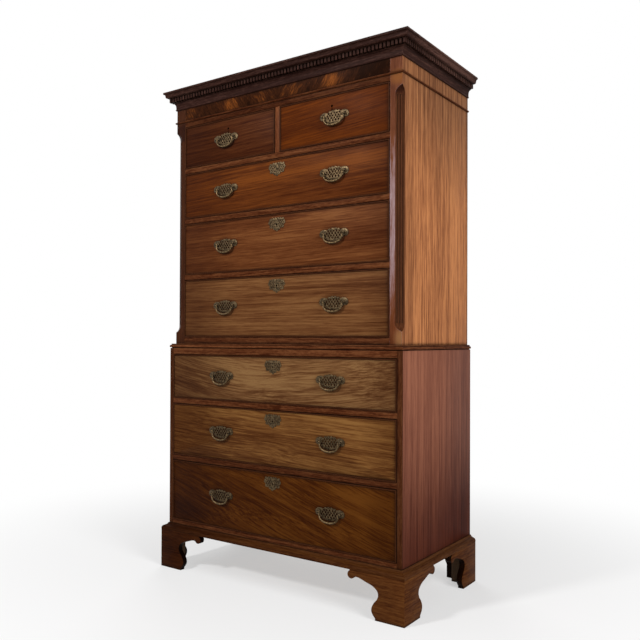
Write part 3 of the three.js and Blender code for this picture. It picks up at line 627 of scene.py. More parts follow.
# Painted shade on the rails: darker under the astragal, a little at the waist and low on the lower stage
DARK_RAILS = ("MULTIPLY", (0.5, 0.45, 0.45), [
    spot(0, 1.747, ANYWHERE, 0.03, 0, 0.8), spot(0, 0.38, ANYWHERE, 0.2, 0, 0.6),
    spot(0, 0.9, ANYWHERE, 0.03, 0, 0.25),
])
# Painted shade over the left front foot and the left end of the base moulding
LEFT_CORNER_SHADE = ("MULTIPLY", (0.3, 0.2, 0.15), [((-0.55, -0.27, 0.05), (0.6, 0.5, 0.4), 0, 0.9)])
# Painted light on the cornice's right end
CORNICE_PAINTED_LIGHT = ((0.58, 0.05, 1.85), (0.07, 0.36, 0.3), 0, 1.0)


def rail_wood(grain):
    return wood(f"rail_mahogany_{grain}", colours().rail, grain, (3, 1, 2), ribbon=0.7, streak=1.3,
                rub=0.4, hold=0.95, reach=0.016, gloss=0.01, patches=[RAIL_DARK_SPOT], washes=[DARK_RAILS])


def facing_wood():
    return wood("facing_mahogany", shade(colours().rail, 0.65), ALONG_Z, (8, 2, 6), ribbon=0.6,
                streak=1.0, rub=0.5, hold=0.95, reach=0.016, gloss=0.01)


def muntin_wood():
    return wood("muntin_mahogany", shade(colours().rail, 1.4), ALONG_Z, (6, 2, 3), streak=0.8,
                rub=0.6, gloss=0.03)


# Beads darker than the rails, with paler crests: painted shade for the dark lines round each drawer, and
# painted highlight along the crests
def bead_wood():
    return wood("bead_mahogany", shade(colours().rail, 0.5), ALONG_X, (9, 1, 7), ribbon=0.3,
                rub=0.9, hold=1.0, reach=0.006, gloss=0.02)


def foot_wood(grain, name="foot", factor=1.0):
    return wood(f"{name}_mahogany_{grain}", shade(colours().foot, factor), grain, (7, 2, 5),
                dark=(0.35, 0.22, 0.15), ribbon=0.6, streak=0.8, roughness=0.5, rub=0.4, length=1.5,
                gloss=0.02, washes=[LEFT_CORNER_SHADE])


def base_wood(grain):
    return foot_wood(grain, "base", 0.75)


def cornice_wood(grain):
    return wood(f"cornice_mahogany_{grain}", colours().cornice, grain, (1, 6, 4), ribbon=0.4,
                light=(3.2, 4.2, 4.6), streak=0.7, roughness=0.5, rub=0.6, gloss=0.03,
                patches=[CORNICE_PAINTED_LIGHT], ragged=0.2)


def soft_wood(grain, name="softwood", factor=1.0):
    return wood(f"{name}_{grain}", shade(colours().softwood, factor), grain, (5, 8, 1),
                light=(1.25, 1.3, 1.3), dark=(0.62, 0.55, 0.5), ribbon=0.35, streak=0.5, pore=0.25,
                roughness=0.7, rub=0.2, hold=0.5, relief=0.2, gloss=0.2)


def add_rail(name, bm, node):
    add_piece(name, bm, rail_wood(ALONG_X), node)


def add_softwood(name, bm, node, grain, *finish, body="carcase"):
    add_piece(name, bm, soft_wood(grain, *finish), node, body)


TARNISH = (0.3, 0.28, 0.22)
TARNISH_CLOUDS = (150.0, 3.0, 0.65)
CLOUD_RANGE = (0.4, 0.6)
TARNISH_SPECKS = (420.0, 3.0, 0.6)
SPECK_RANGE = (0.5, 0.75)
SPECK_SHARE = 0.6
BRASS_RUBBED_AND_LIT = 1.75


def brass(name, factor):
    """Old brass: dull brown in its hollows, bright at its edges, partly rubbed where hands and dusters
    reach and partly painted highlight
    """
    if name in bpy.data.materials:
        return bpy.data.materials[name]
    material, tree = new_material(name)
    color = shade(colours().brass, factor)
    tarnish = (*shade(color, TARNISH), 1)
    place = object_place(tree)
    cloud = ease(tree, noise(tree, place, *TARNISH_CLOUDS), *CLOUD_RANGE)
    surface = mix_colour(tree, cloud, tarnish, (*color, 1))
    specks = noise(tree, place, *TARNISH_SPECKS)
    share = calculate(tree, "MULTIPLY", ease(tree, specks, *SPECK_RANGE), SPECK_SHARE)
    surface = mix_colour(tree, share, surface, tarnish)
    add_finish(tree, surface, specks, relief=0.25, depth=0.0003, metallic=0.85, Edge=0.0009,
               Rubbed=shade(colours().brass, BRASS_RUBBED_AND_LIT), Rub=1.0, Reach=0.006, Hold=0.85,
               Roughness=0.44)
    return material


def plate_brass():
    return brass("plate_brass", 0.42)


# Lower stage and its feet
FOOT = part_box("foot_front_right")
FOOT_HEIGHT = FOOT[1].z
BRACKET = FOOT[1].x - FOOT[0].x
BRACKET_THICKNESS = 0.022
BRACKET_ROUNDING = 0.001
SOLE = 0.107
BALL = 0.0135
# How far under the moulding the ball's centre is, in radii, and the angles that it runs between
BALL_DROP = 1.15
BALL_ARC = (-144, 63)
# The arch between toe and ball, in shares of the sole's length and of the foot's height
ARCH_ALONG = (1, 1.1, 1.13, 1.05, 0.93, 0.9, 1, 1.3, 1.7)
ARCH_UP = (0.05, 0.14, 0.23, 0.37, 0.48, 0.6, 0.7, 0.79, 0.86)
REAR_BRACKET = 0.15
GLUE_BLOCK = 0.045
BLOCK_ROUNDING = 0.002
BLOCK_LIFT = 0.004
# How far in from the outer faces a face still gets the outer wood; deeper faces get the painted shade
OUTSIDE_DEPTH = 0.003


def bracket_outline():
    """A bracket from the corner along the floor and up: toe, arch and a ball under the moulding"""
    arch = smooth(*((along * SOLE, up * FOOT_HEIGHT) for along, up in zip(ARCH_ALONG, ARCH_UP)))
    ball = arc((BRACKET - BALL, FOOT_HEIGHT - BALL_DROP * BALL), BALL, *BALL_ARC)
    last = ball[-1][0]
    return [*corner((0, 0), (SOLE, 0), arch[0][:2]), *arch[1:], *corner(ball[0][:2]), *ball[1:-1],
            *corner(ball[-1][:2], (last, FOOT_HEIGHT), (0, FOOT_HEIGHT))]


class CHEST_OT_feet(bpy.types.Operator):
    """Four bracket feet, each of two brackets and a glue block"""
    bl_idname = "chest.feet"
    bl_label = "Bracket feet"

    def execute(self, context):
        edge = -FOOT[1].x
        front = FOOT[0].y
        inner = BRACKET_THICKNESS
        outline = bracket_outline()
        rake = corner((inner, 0), (SOLE, 0), (SOLE, FOOT_HEIGHT / 3), (REAR_BRACKET, FOOT_HEIGHT),
                      (inner, FOOT_HEIGHT))
        running_forward = Matrix.Diagonal((1, -1, 1, 1)) @ FACING_RIGHT
        # Each bracket's outline, place, mitre and grain, and then where its foot's block starts
        feet = {
            "front": ({"face": (outline, facing_front((edge, front + inner, 0)), (1, -1, 0), ALONG_X),
                       "flank": (outline, facing_right((edge, front, 0)), (-1, 1, 0), ALONG_Y)},
                      front + inner),
            "rear": ({"flank": (outline, Matrix.Translation((edge, BACK_PLANE, 0)) @ running_forward,
                                None, ALONG_Y),
                      "face": (rake, facing_front((edge, BACK_PLANE, 0)), None, ALONG_X)},
                     BACK_PLANE - inner - GLUE_BLOCK),
        }
        for side in SIDES:
            for end, (brackets, start) in feet.items():
                node = f"foot_{end}_{side}"
                for part, (points, place, mitre, grain) in brackets.items():
                    bm = bmesh.new()
                    add_outline(bm, [points], BRACKET_THICKNESS, place, BRACKET_ROUNDING)
                    if mitre:
                        trim(bm, (edge, front, 0), mitre)
                    self.add_bracket(f"{node}_{part}", bm, node, side, grain)
                block = board((edge + inner, start, BLOCK_LIFT),
                              (edge + inner + GLUE_BLOCK, start + GLUE_BLOCK, FOOT_HEIGHT),
                              BLOCK_ROUNDING)
                if side == "right":
                    mirrored(block)
                add_softwood(f"{node}_block", block, node, ALONG_Z, "block_wood", 0.2)
        return {"FINISHED"}

    def add_bracket(self, name, bm, node, side, grain):
        """Its sawn edges and insides get a second, near-black material: painted shade, where they lie in
        deep shadow
        """
        if side == "right":
            mirrored(bm)
        for face in bm.faces:
            middle = face.calc_center_median()
            outside = middle.y < FOOT[0].y + OUTSIDE_DEPTH or abs(middle.x) > FOOT[1].x - OUTSIDE_DEPTH
            face.material_index = 0 if outside else 1
        piece = add_piece(name, bm, foot_wood(grain), node)
        piece.data.materials.append(foot_wood(grain, "foot_inside", 0.12))


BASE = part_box("base_moulding")
BASE_RAIL = 0.06
BASE_SECTION = [
    *corner((-BASE_RAIL, 0), (0.0215, 0), (0.022, 0.0005), (0.022, 0.0066), (0.0217, 0.007)),
    *smooth((0.019, 0.012), (0.0125, 0.0155), (0.006, 0.019)),
    *corner((0.003, 0.024), (-BASE_RAIL, 0.024)),
]


class CHEST_OT_base_moulding(bpy.types.Operator):
    """Ogee base moulding on the frame that carries the case"""
    bl_idname = "chest.base_moulding"
    bl_label = "Base moulding"

    def execute(self, context):
        add_moulding("base_moulding", "base_moulding", base_wood, BASE_SECTION,
                     LOWER_HALF, LOWER_FRONT, BASE[0].z)
        inner = LOWER_HALF - BASE_RAIL
        rail = board((-inner, BACK_PLANE - BASE_RAIL, BASE[0].z), (inner, BACK_PLANE, BASE[1].z))
        add_piece("base_rear_rail", rail, soft_wood(ALONG_X, "block_wood", 0.45),
                  "base_moulding")
        return {"FINISHED"}


FACING = 0.005
SIDE_PATCHES = {
    "lower": [flank_spot(-0.17, 0.84, 0.14, 0.26, 0.3)],
    "upper": [flank_spot(0.2, 1.15, 0.12, 0.5, 0.25)],
}
# Washes over the side boards. On the lower ones, painted reflection: darker towards the floor and a grey
# sheen higher up. On the upper ones, darker and greyer towards the top and along two upright strips.
SIDE_WASHES = {
    "lower": [("MULTIPLY", (0.28, 0.16, 0.13),
               [flank_spot(0.1, 0.1, 1.2, 0.55, 0.9), flank_spot(0.26, 0.4, 0.3, 0.6, 0.2)]),
              ("MIX", (0.17, 0.115, 0.105), [flank_spot(0.3, 0.66, 0.35, 0.45, 0.12)])],
    "upper": [("MULTIPLY", (0.45, 0.5, 0.58),
               [flank_spot(0.1, 1.9, 0.8, 0.6, 0.85), flank_spot(-0.22, 1.2, 0.12, 0.7, 0.25),
                flank_spot(0.28, 1.3, 0.022, 3.0, 0.8)])],
}


def side_wood(stage, side):
    """Wood of a stage's side boards, each with a paler patch, and with painted reflection on the lower
    ones
    """
    upper = stage == "upper"
    at = SIDES.index(side)
    color = colours().upper_side if upper else colours().lower_side
    return wood(f"{stage}_side_{side}", color, ALONG_Z, (2.4 + at, at, 5.1), light=(1.5, 1.6, 1.5),
                dark=(0.5, 0.45, 0.45), ribbon=0.8, streak=1.5 if upper else 0.7, pore=0.5, wave=0.005,
                length=4.5, patches=SIDE_PATCHES[stage], washes=SIDE_WASHES[stage], ragged=0.3,
                rub=0.3, roughness=0.5, gloss=0.01)


class CHEST_OT_side_boards(bpy.types.Operator):
    """Side boards of both stages, the lower ones faced in front with a darker strip"""
    bl_idname = "chest.side_boards"
    bl_label = "Side boards"

    def execute(self, context):
        for side in SIDES:
            for stage in ("lower", "upper"):
                node = f"{stage}_side_{side}"
                low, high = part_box(node)
                start = low.y + FACING if stage == "lower" else low.y
                add_piece(f"{stage}_side_board_{side}", board((low.x, start, low.z), high),
                          side_wood(stage, side), node)
            node = f"lower_side_{side}"
            low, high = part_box(node)
            add_piece(f"lower_facing_{side}", board(low, (high.x, low.y + FACING, high.z)),
                      facing_wood(), node)
        return {"FINISHED"}


PLANK_GAP = 0.0008
PLANK_ROUNDING = 0.0012


class CHEST_OT_backs(bpy.types.Operator):
    """Backs of both stages, of upright planks that nearly touch"""
    bl_idname = "chest.backs"
    bl_label = "Backs"

    def execute(self, context):
        for node in ("lower_back", "upper_back"):
            low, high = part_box(node)
            width = high.x - low.x
            count = -int(-width // sizes().plank)
            joints = [low.x + width * at / count for at in range(count + 1)]
            planks = [((left + PLANK_GAP / 2, low.y, low.z), (right - PLANK_GAP / 2, high.y, high.z))
                      for left, right in zip(joints, joints[1:])]
            add_softwood(f"{node}_planks", boards(*planks, rounding=PLANK_ROUNDING), node, ALONG_Z,
                         "back_wood", 0.5)
        return {"FINISHED"}


BLADE_ROUNDING = 0.0012
DUST_BOARD = 0.009
MUNTIN_HALF = 0.0105
MUNTIN_DEPTH = 0.03
GUIDE_HEIGHT = 0.015
DRAWER_GAP = 0.0003
UPPER_RAIL = 0.022
UPPER_BOTTOM_BOARD = 0.018


def add_divider(node, high_z, extra_frame=()):
    """A divider: mahogany blade in front, softwood runners, guides and dust board behind"""
    upper = node.startswith("upper")
    low_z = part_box(node)[0].z
    front = UPPER_FRONT if upper else LOWER_FRONT
    front_half = STILE_INNER if upper else LOWER_INNER
    inner_half = UPPER_INNER if upper else LOWER_INNER
    blade_back = front + sizes().blade
    add_rail(f"{node}_blade", board((-front_half, front, low_z), (front_half, blade_back, high_z),
                                    BLADE_ROUNDING), node)
    inner = inner_half - sizes().runner
    middle = (low_z + high_z) / 2
    parts = [((-inner, blade_back, middle - DUST_BOARD / 2),
              (inner, BACK_BOARD_FRONT, middle + DUST_BOARD / 2)),
             *both_sides((inner, blade_back, low_z), (inner_half, BACK_BOARD_FRONT, high_z))]
    if upper:
        if STILE_BACK < blade_back:
            parts += both_sides((STILE_INNER, STILE_BACK, low_z), (UPPER_INNER, blade_back, high_z))
        parts += both_sides((STILE_INNER, STILE_BACK, high_z),
                            (UPPER_INNER, BACK_BOARD_FRONT, high_z + GUIDE_HEIGHT))
    add_softwood(f"{node}_frame", boards(*parts, *extra_frame), node, ALONG_Y)


class CHEST_OT_dividers(bpy.types.Operator):
    """Bottoms, dividers and tops of both stages"""
    bl_idname = "chest.dividers"
    bl_label = "Dividers, bottoms and tops"

    def execute(self, context):
        for node in ("lower_divider_1", "lower_divider_2", "lower_bottom"):
            add_divider(node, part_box(node)[1].z)
        for node in ("upper_divider_2", "upper_divider_3"):
            add_divider(node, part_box(node)[1].z - GUIDE_HEIGHT)
        self.add_muntin_divider()
        self.add_upper_bottom()
        self.add_tops()
        return {"FINISHED"}

    def add_muntin_divider(self):
        node = "upper_divider_1"
        low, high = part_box(node)
        blade_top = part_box("drawer_short_left")[0].z - DRAWER_GAP
        half = sizes().runner / 2
        muntin_back = UPPER_FRONT + MUNTIN_DEPTH
        add_divider(node, blade_top, [
            ((-half, UPPER_FRONT + sizes().blade, low.z), (half, BACK_BOARD_FRONT, blade_top)),
            ((-MUNTIN_HALF, muntin_back, blade_top),
             (MUNTIN_HALF, BACK_BOARD_FRONT, blade_top + GUIDE_HEIGHT)),
        ])
        muntin = board((-MUNTIN_HALF, UPPER_FRONT, blade_top), (MUNTIN_HALF, muntin_back, high.z))
        add_piece("muntin", muntin, muntin_wood(), node)

    def add_upper_bottom(self):
        low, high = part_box("upper_bottom")
        board_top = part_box("drawer_upper_3")[0].z - DRAWER_GAP
        board_bottom = board_top - UPPER_BOTTOM_BOARD
        rail_back = UPPER_FRONT + UPPER_RAIL
        add_rail("upper_bottom_rail", board((-STILE_INNER, UPPER_FRONT, low.z),
                                            (STILE_INNER, rail_back, board_top)), "upper_bottom")
        bottom = boards(((-STILE_INNER, rail_back, board_bottom),
                         (STILE_INNER, BACK_BOARD_FRONT, board_top)),
                        *both_sides((STILE_INNER, STILE_BACK, board_bottom),
                                    (UPPER_INNER, BACK_BOARD_FRONT, board_top)),
                        *both_sides((STILE_INNER, STILE_BACK, board_top),
                                    (UPPER_INNER, BACK_BOARD_FRONT, high.z)))
        add_softwood("upper_bottom_board", bottom, "upper_bottom", ALONG_X)

    def add_tops(self):
        low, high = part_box("upper_top")
        top = boards(((-STILE_INNER, low.y, low.z), (STILE_INNER, high.y, high.z)),
                     *both_sides((STILE_INNER, STILE_BACK, low.z), high))
        add_softwood("upper_top_board", top, "upper_top", ALONG_X, "back_wood", 0.55)
        node = "lower_top_with_waist_moulding"
        add_rail("lower_top_board", board((-LOWER_INNER, LOWER_FRONT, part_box(node)[0].z),
                                          (LOWER_INNER, BACK_PLANE, LOWER_TOP)), node)


WAIST_INNER = UPPER_FRONT - LOWER_FRONT
WAIST_SECTION = [
    *corner((-WAIST_INNER, 0), (-0.004, 0), (-0.004, 0.0028), (0.0006, 0.0032)),
    *smooth((0.0018, 0.0052), (0.002, 0.0078), (0.0008, 0.0108)),
    *corner((-0.001, 0.0126), (-0.004, 0.0128), (-0.004, 0.0142), (-0.0022, 0.0145), (-0.003, 0.017),
            (-WAIST_INNER, 0.017)),
]


class CHEST_OT_waist_moulding(bpy.types.Operator):
    """Waist moulding that the upper stage stands in"""
    bl_idname = "chest.waist_moulding"
    bl_label = "Waist moulding"

    def execute(self, context):
        add_moulding("waist_moulding", "lower_top_with_waist_moulding", rail_wood,
                     WAIST_SECTION, LOWER_HALF, LOWER_FRONT, LOWER_TOP)
        return {"FINISHED"}


# Upper stage
CANT_WIDTH = 0.026
CANT_DEPTH = 0.018
CANT_STOP = 0.026
CANT_MARGIN = 0.018
CANT_OVERRUN = 0.005
FLUTES = 3
FLUTE_PITCH = 0.0086
FLUTE_DEPTH = 0.0023
FLUTE_MARGIN = 0.001
STILE_HEAD_SHADOW = ((0, UPPER_FRONT, 1.715), (ANYWHERE, 0.3, 0.045), 0, 1.0)
STILE_LEFT_SHADOW = ((-0.5, UPPER_FRONT, 1.3), (0.3, 0.3, ANYWHERE), 0, 0.5)
SHEEN_SHADOW = ((STILE_INNER, UPPER_FRONT, 1.28), (ANYWHERE, ANYWHERE, ANYWHERE), 0, -0.25)
# Painted reflection on the right stile's front, half way up
SHEEN_REFLECTION = ((STILE_INNER, UPPER_FRONT, 1.28), (0.2, 0.2, 0.4), 0, 0.58)
SHEEN_WASHES = [
    ("MIX", (0.2, 0.065, 0.012), [((0.497, UPPER_FRONT, 1.745), (0.05, 0.1, 0.035), 0, 0.8)]),
    ("MIX", (0.3, 0.14, 0.055), [((0.505, UPPER_FRONT, 0.9), (0.03, 0.1, 0.05), 0, 0.7)]),
]


def stile_wood():
    """The flutes and scoops, dark partly with old wax and partly as painted shade, with painted shadow at
    the arch heads and on the left stile
    """
    return wood("stile_mahogany", shade(colours().rail, 0.7), ALONG_Z, (4, 3, 2), ribbon=0.3,
                dark=(0.3, 0.2, 0.25), streak=0.6, rub=1.0, hold=1.0, reach=0.008, length=2.0,
                edge=0.0025, gloss=0.03,
                washes=[("MULTIPLY", (0.35, 0.3, 0.35), [STILE_HEAD_SHADOW, STILE_LEFT_SHADOW])])


def stile_sheen():
    """The right stile's front: a pale painted reflection half way up, warmer above and below"""
    return wood("stile_bloom", shade(colours().rail, 1.6), ALONG_Z, (4, 3, 2), ribbon=0.2,
                light=(2.4, 5.6, 17), patches=[SHEEN_SHADOW, SHEEN_REFLECTION], streak=0.4, rub=0.9,
                hold=0.9, reach=0.008, ragged=0.1, length=2.0, gloss=0.03, edge=0.0025,
                washes=SHEEN_WASHES)


class CHEST_OT_fluted_corners(bpy.types.Operator):
    """Corner stiles with canted faces, scooped stops and flutes"""
    bl_idname = "chest.fluted_corners"
    bl_label = "Fluted corners"

    def execute(self, context):
        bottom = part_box("upper_bottom")[1].z - GUIDE_HEIGHT + CANT_MARGIN
        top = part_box("frieze_and_astragal")[0].z - CANT_MARGIN
        outward = Matrix.Translation((UPPER_HALF - CANT_WIDTH / 2, UPPER_FRONT + CANT_DEPTH / 2, 0)) \
            @ Matrix.Rotation(Vector((CANT_DEPTH, -CANT_WIDTH)).angle_signed(Vector((1, 0))), 4, "Z")
        for side in SIDES:
            bm = carve(board(*STILE), [self.cant(bottom, top, outward),
                                       *self.flutes(bottom, top, outward)])
            # Faces on the side take the side's wood; the right stile's front takes the painted reflection
            for face in bm.faces:
                middle = face.calc_center_median()
                if middle.x > UPPER_HALF - sizes().edge / 2:
                    face.material_index = 1
                elif side == "right" and middle.y < UPPER_FRONT + sizes().edge / 2:
                    face.material_index = 2
            if side == "left":
                mirrored(bm)
            piece = add_piece(f"fluted_stile_{side}", bm, stile_wood(),
                              f"fluted_corner_{side}", smooth_below=20)
            piece.data.materials.append(side_wood("upper", side))
            piece.data.materials.append(stile_sheen())
        return {"FINISHED"}

    def cant(self, bottom, top, outward):
        """What is cut off the corner: a flat between two scoops"""
        diagonal = (CANT_WIDTH ** 2 + CANT_DEPTH ** 2) ** 0.5
        depth = CANT_WIDTH * CANT_DEPTH / diagonal
        radius = (CANT_STOP ** 2 + depth ** 2) / (2 * depth)
        turn = Vector((depth - radius, CANT_STOP)).angle(Vector((-1, 0))) * 180 / pi
        out = depth + CANT_OVERRUN
        upper = arc((radius, top - CANT_STOP), radius, 180 - turn, 180)
        lower = arc((radius, bottom + CANT_STOP), radius, 180, 180 + turn)
        outline = [*corner((out, bottom), (out, top), upper[0][:2]), *upper[1:-1],
                   *corner(upper[-1][:2], lower[0][:2]), *lower[1:-1], *corner(lower[-1][:2])]
        bm = bmesh.new()
        add_outline(bm, [outline], 2 * diagonal, outward @ facing_front((0, diagonal, 0)))
        return bm

    def flutes(self, bottom, top, outward):
        """Round-ended rods that cut the flutes"""
        flute = sizes().flute
        start = bottom + CANT_STOP + FLUTE_MARGIN + flute
        end = top - CANT_STOP - FLUTE_MARGIN - flute
        rods = []
        for at in range(FLUTES):
            bm = bmesh.new()
            bmesh.ops.create_uvsphere(bm, u_segments=16, v_segments=9, radius=flute)
            upper_half = [vert for vert in bm.verts if vert.co.z > 0]
            bmesh.ops.translate(bm, verts=upper_half, vec=(0, 0, end - start))
            across = (at - (FLUTES - 1) / 2) * FLUTE_PITCH
            place = outward @ Matrix.Translation((flute - FLUTE_DEPTH, across, start))
            bmesh.ops.transform(bm, matrix=place, verts=bm.verts)
            rods.append(bm)
        return rods


FRIEZE_THICKNESS = 0.022
ASTRAGAL_DROP = 0.019
ASTRAGAL_HALF = 0.004
ASTRAGAL_REACH = 0.005
ASTRAGAL_TONGUE = 0.0005
ASTRAGAL_SECTION = [
    *corner((0, -ASTRAGAL_HALF)),
    *smooth((ASTRAGAL_REACH * 0.6, -ASTRAGAL_HALF * 0.8), (ASTRAGAL_REACH, 0),
            (ASTRAGAL_REACH * 0.6, ASTRAGAL_HALF * 0.8)),
    *corner((0, ASTRAGAL_HALF), (-ASTRAGAL_TONGUE, ASTRAGAL_HALF), (-ASTRAGAL_TONGUE, -ASTRAGAL_HALF)),
]
KICKER_HEIGHT = 0.02
KICKER_WIDTH = 0.025


class CHEST_OT_frieze(bpy.types.Operator):
    """Frieze rail with its veneer, the astragal round it and the kickers behind"""
    bl_idname = "chest.frieze"
    bl_label = "Frieze and astragal"

    def execute(self, context):
        node = "frieze_and_astragal"
        low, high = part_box(node)
        back = UPPER_FRONT + FRIEZE_THICKNESS
        middle = low.z + ASTRAGAL_DROP + ASTRAGAL_HALF
        top = low.z + KICKER_HEIGHT
        add_rail("frieze_lower_rail", board((-STILE_INNER, UPPER_FRONT, low.z),
                                            (STILE_INNER, back, middle)), node)
        veneer = board((-STILE_INNER, UPPER_FRONT, middle), (STILE_INNER, back, high.z))
        add_piece("frieze_veneer", veneer, flame_veneer(), node)
        add_moulding("astragal", node, rail_wood, ASTRAGAL_SECTION, UPPER_HALF,
                     UPPER_FRONT, middle)
        kickers = boards(((-KICKER_WIDTH, back, low.z), (KICKER_WIDTH, BACK_BOARD_FRONT, top)),
                         *both_sides((STILE_INNER - KICKER_WIDTH, back, low.z),
                                     (STILE_INNER, BACK_BOARD_FRONT, top)))
        add_softwood("kickers", kickers, node, ALONG_Y)
        return {"FINISHED"}


FLAMES = [
    spot(0.24, 1.785, 0.055, 0.06, 0, 0.45), spot(0.07, 1.785, 0.07, 0.05, 0, 0.24),
    spot(-0.08, 1.785, 0.06, 0.05, 0, 0.2), spot(-0.23, 1.785, 0.06, 0.05, 0, 0.34),
    spot(-0.44, 1.785, 0.04, 0.05, 0, 0.25), spot(0.4, 1.785, 0.12, 0.06, 0, -0.3),
]
FLAME_LEAN = -0.55
FLAME = ((16.0, 9.0, 60.0), 3.0, 0.65)
FEATHER = ((60.0, 60.0, 260.0), 3.0, 0.65)
FEATHER_GAIN = 1.3
# Tones between which the veneer turns from black to brown, and from brown to the flames' colour
FLAME_DARKS, FLAME_LIGHTS = (0.25, 0.6), (0.66, 1.2)


def flame_veneer():
    """Crotch veneer in matched halves: dark, with flames that lean away from the joint"""
    material, tree = new_material("flame_veneer")
    black, brown, flame = ((*shade(colours().rail, factor), 1) for factor in (0.12, 0.4, (2.3, 2.2, 1.2)))
    place = object_place(tree)
    parts = add_node(tree, "SeparateXYZ", {0: place}).outputs
    lean = calculate(tree, "MULTIPLY_ADD", parts[2], FLAME_LEAN, calculate(tree, "ABSOLUTE", parts[0]))
    grain = add_node(tree, "CombineXYZ", {0: parts[2], 1: parts[1], 2: lean}).outputs[0]
    feather = noise(tree, grain, *FEATHER)
    tone = calculate(tree, "ADD", noise(tree, grain, *FLAME), add_patches(tree, place, grain, FLAMES))
    tone = swing(tree, tone, feather, FEATHER_GAIN)
    color = mix_colour(tree, ramp(tree, tone, *FLAME_DARKS), black, brown)
    color = mix_colour(tree, ramp(tree, tone, *FLAME_LIGHTS), color, flame)
    add_finish(tree, color, feather, relief=0.1, depth=0.0005, gloss=0.01, Rub=0.3, Hold=0.8,
               Rubbed=shade(colours().rail, 2), Roughness=0.45)
    return material


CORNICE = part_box("cornice")
CORNICE_TOP = CORNICE[1].z - CORNICE[0].z
DENTIL_ROOT = 0.01
DENTIL_REACH = 0.022
DENTIL_BOTTOM = 0.032
DENTIL_TOP = 0.048
DENTIL_ROUNDING = 0.0006
CORNICE_SECTION = [
    *corner((0, 0), (0.0015, 0)), *smooth((0.0038, 0.0009), (0.0045, 0.003), (0.0038, 0.0051)),
    *corner((0.003, 0.006)), *smooth((0.0033, 0.015), (0.0047, 0.0225), (0.0085, 0.0282)),
    *corner((0.014, 0.03), (DENTIL_ROOT, 0.03), (DENTIL_ROOT, DENTIL_TOP), (0.026, DENTIL_TOP)),
    *smooth((0.0318, 0.0505), (0.0334, 0.056), (0.035, 0.0615)),
    *corner((0.0396, 0.064), (0.04, 0.0644), (0.04, CORNICE_TOP - 0.0008), (0.0392, CORNICE_TOP),
            (0, CORNICE_TOP)),
]


class CHEST_OT_cornice(bpy.types.Operator):
    """Cornice in three mitred lengths, and its dentil course"""
    bl_idname = "chest.cornice"
    bl_label = "Cornice"

    def execute(self, context):
        add_moulding("cornice", "cornice", cornice_wood, CORNICE_SECTION,
                     UPPER_HALF, UPPER_FRONT, CORNICE[0].z)
        z0, z1 = CORNICE[0].z + DENTIL_BOTTOM, CORNICE[0].z + DENTIL_TOP
        width = sizes().dentil
        half = UPPER_HALF + DENTIL_REACH
        front = UPPER_FRONT - DENTIL_REACH
        inner = DENTIL_REACH - DENTIL_ROOT
        along_front = [((x - half, front, z0), (x - half + width, front + inner, z1))
                       for x in self.places(2 * half)]
        along_side = [((half - inner, front + y, z0), (half, front + y + width, z1))
                      for y in self.places(BACK_PLANE - front)[1:]]
        for part, dentils in (("front", along_front), ("left", along_side), ("right", along_side)):
            bm = boards(*dentils, rounding=DENTIL_ROUNDING)
            if part == "left":
                mirrored(bm)
            add_piece(f"dentils_{part}", bm, cornice_wood(ALONG_Z), "cornice")
        return {"FINISHED"}

    def places(self, run):
        """Even places for a row that starts and ends with a dentil"""
        gaps = round((run - sizes().dentil) / sizes().dentil_pitch)
        return [(run - sizes().dentil) * at / gaps for at in range(gaps + 1)]


# Drawers and their brasses
KEY_DROP = 0.038
KEY_RADIUS = 0.0032
KEY_SLOT = 0.0017
KEY_LENGTH = 0.009
KEY_CLEARANCE = 0.0003
# Angles between which the round part runs, over its top
KEY_ARC = (302, -122)
# The short drawers' keyholes have no escutcheon and have worn longer and wider
LONG_KEY = 0.017
KEY_WEAR = 0.001


def keyhole(height=0.0, grow=0.0, slot_length=KEY_LENGTH):
    """A round hole with a slot below"""
    round_part = arc((0, height), KEY_RADIUS + grow, *KEY_ARC)
    slot = KEY_SLOT + grow
    return [*corner(round_part[0][:2]), *round_part[1:-1],
            *corner(round_part[-1][:2], (-slot, height - slot_length), (slot, height - slot_length))]


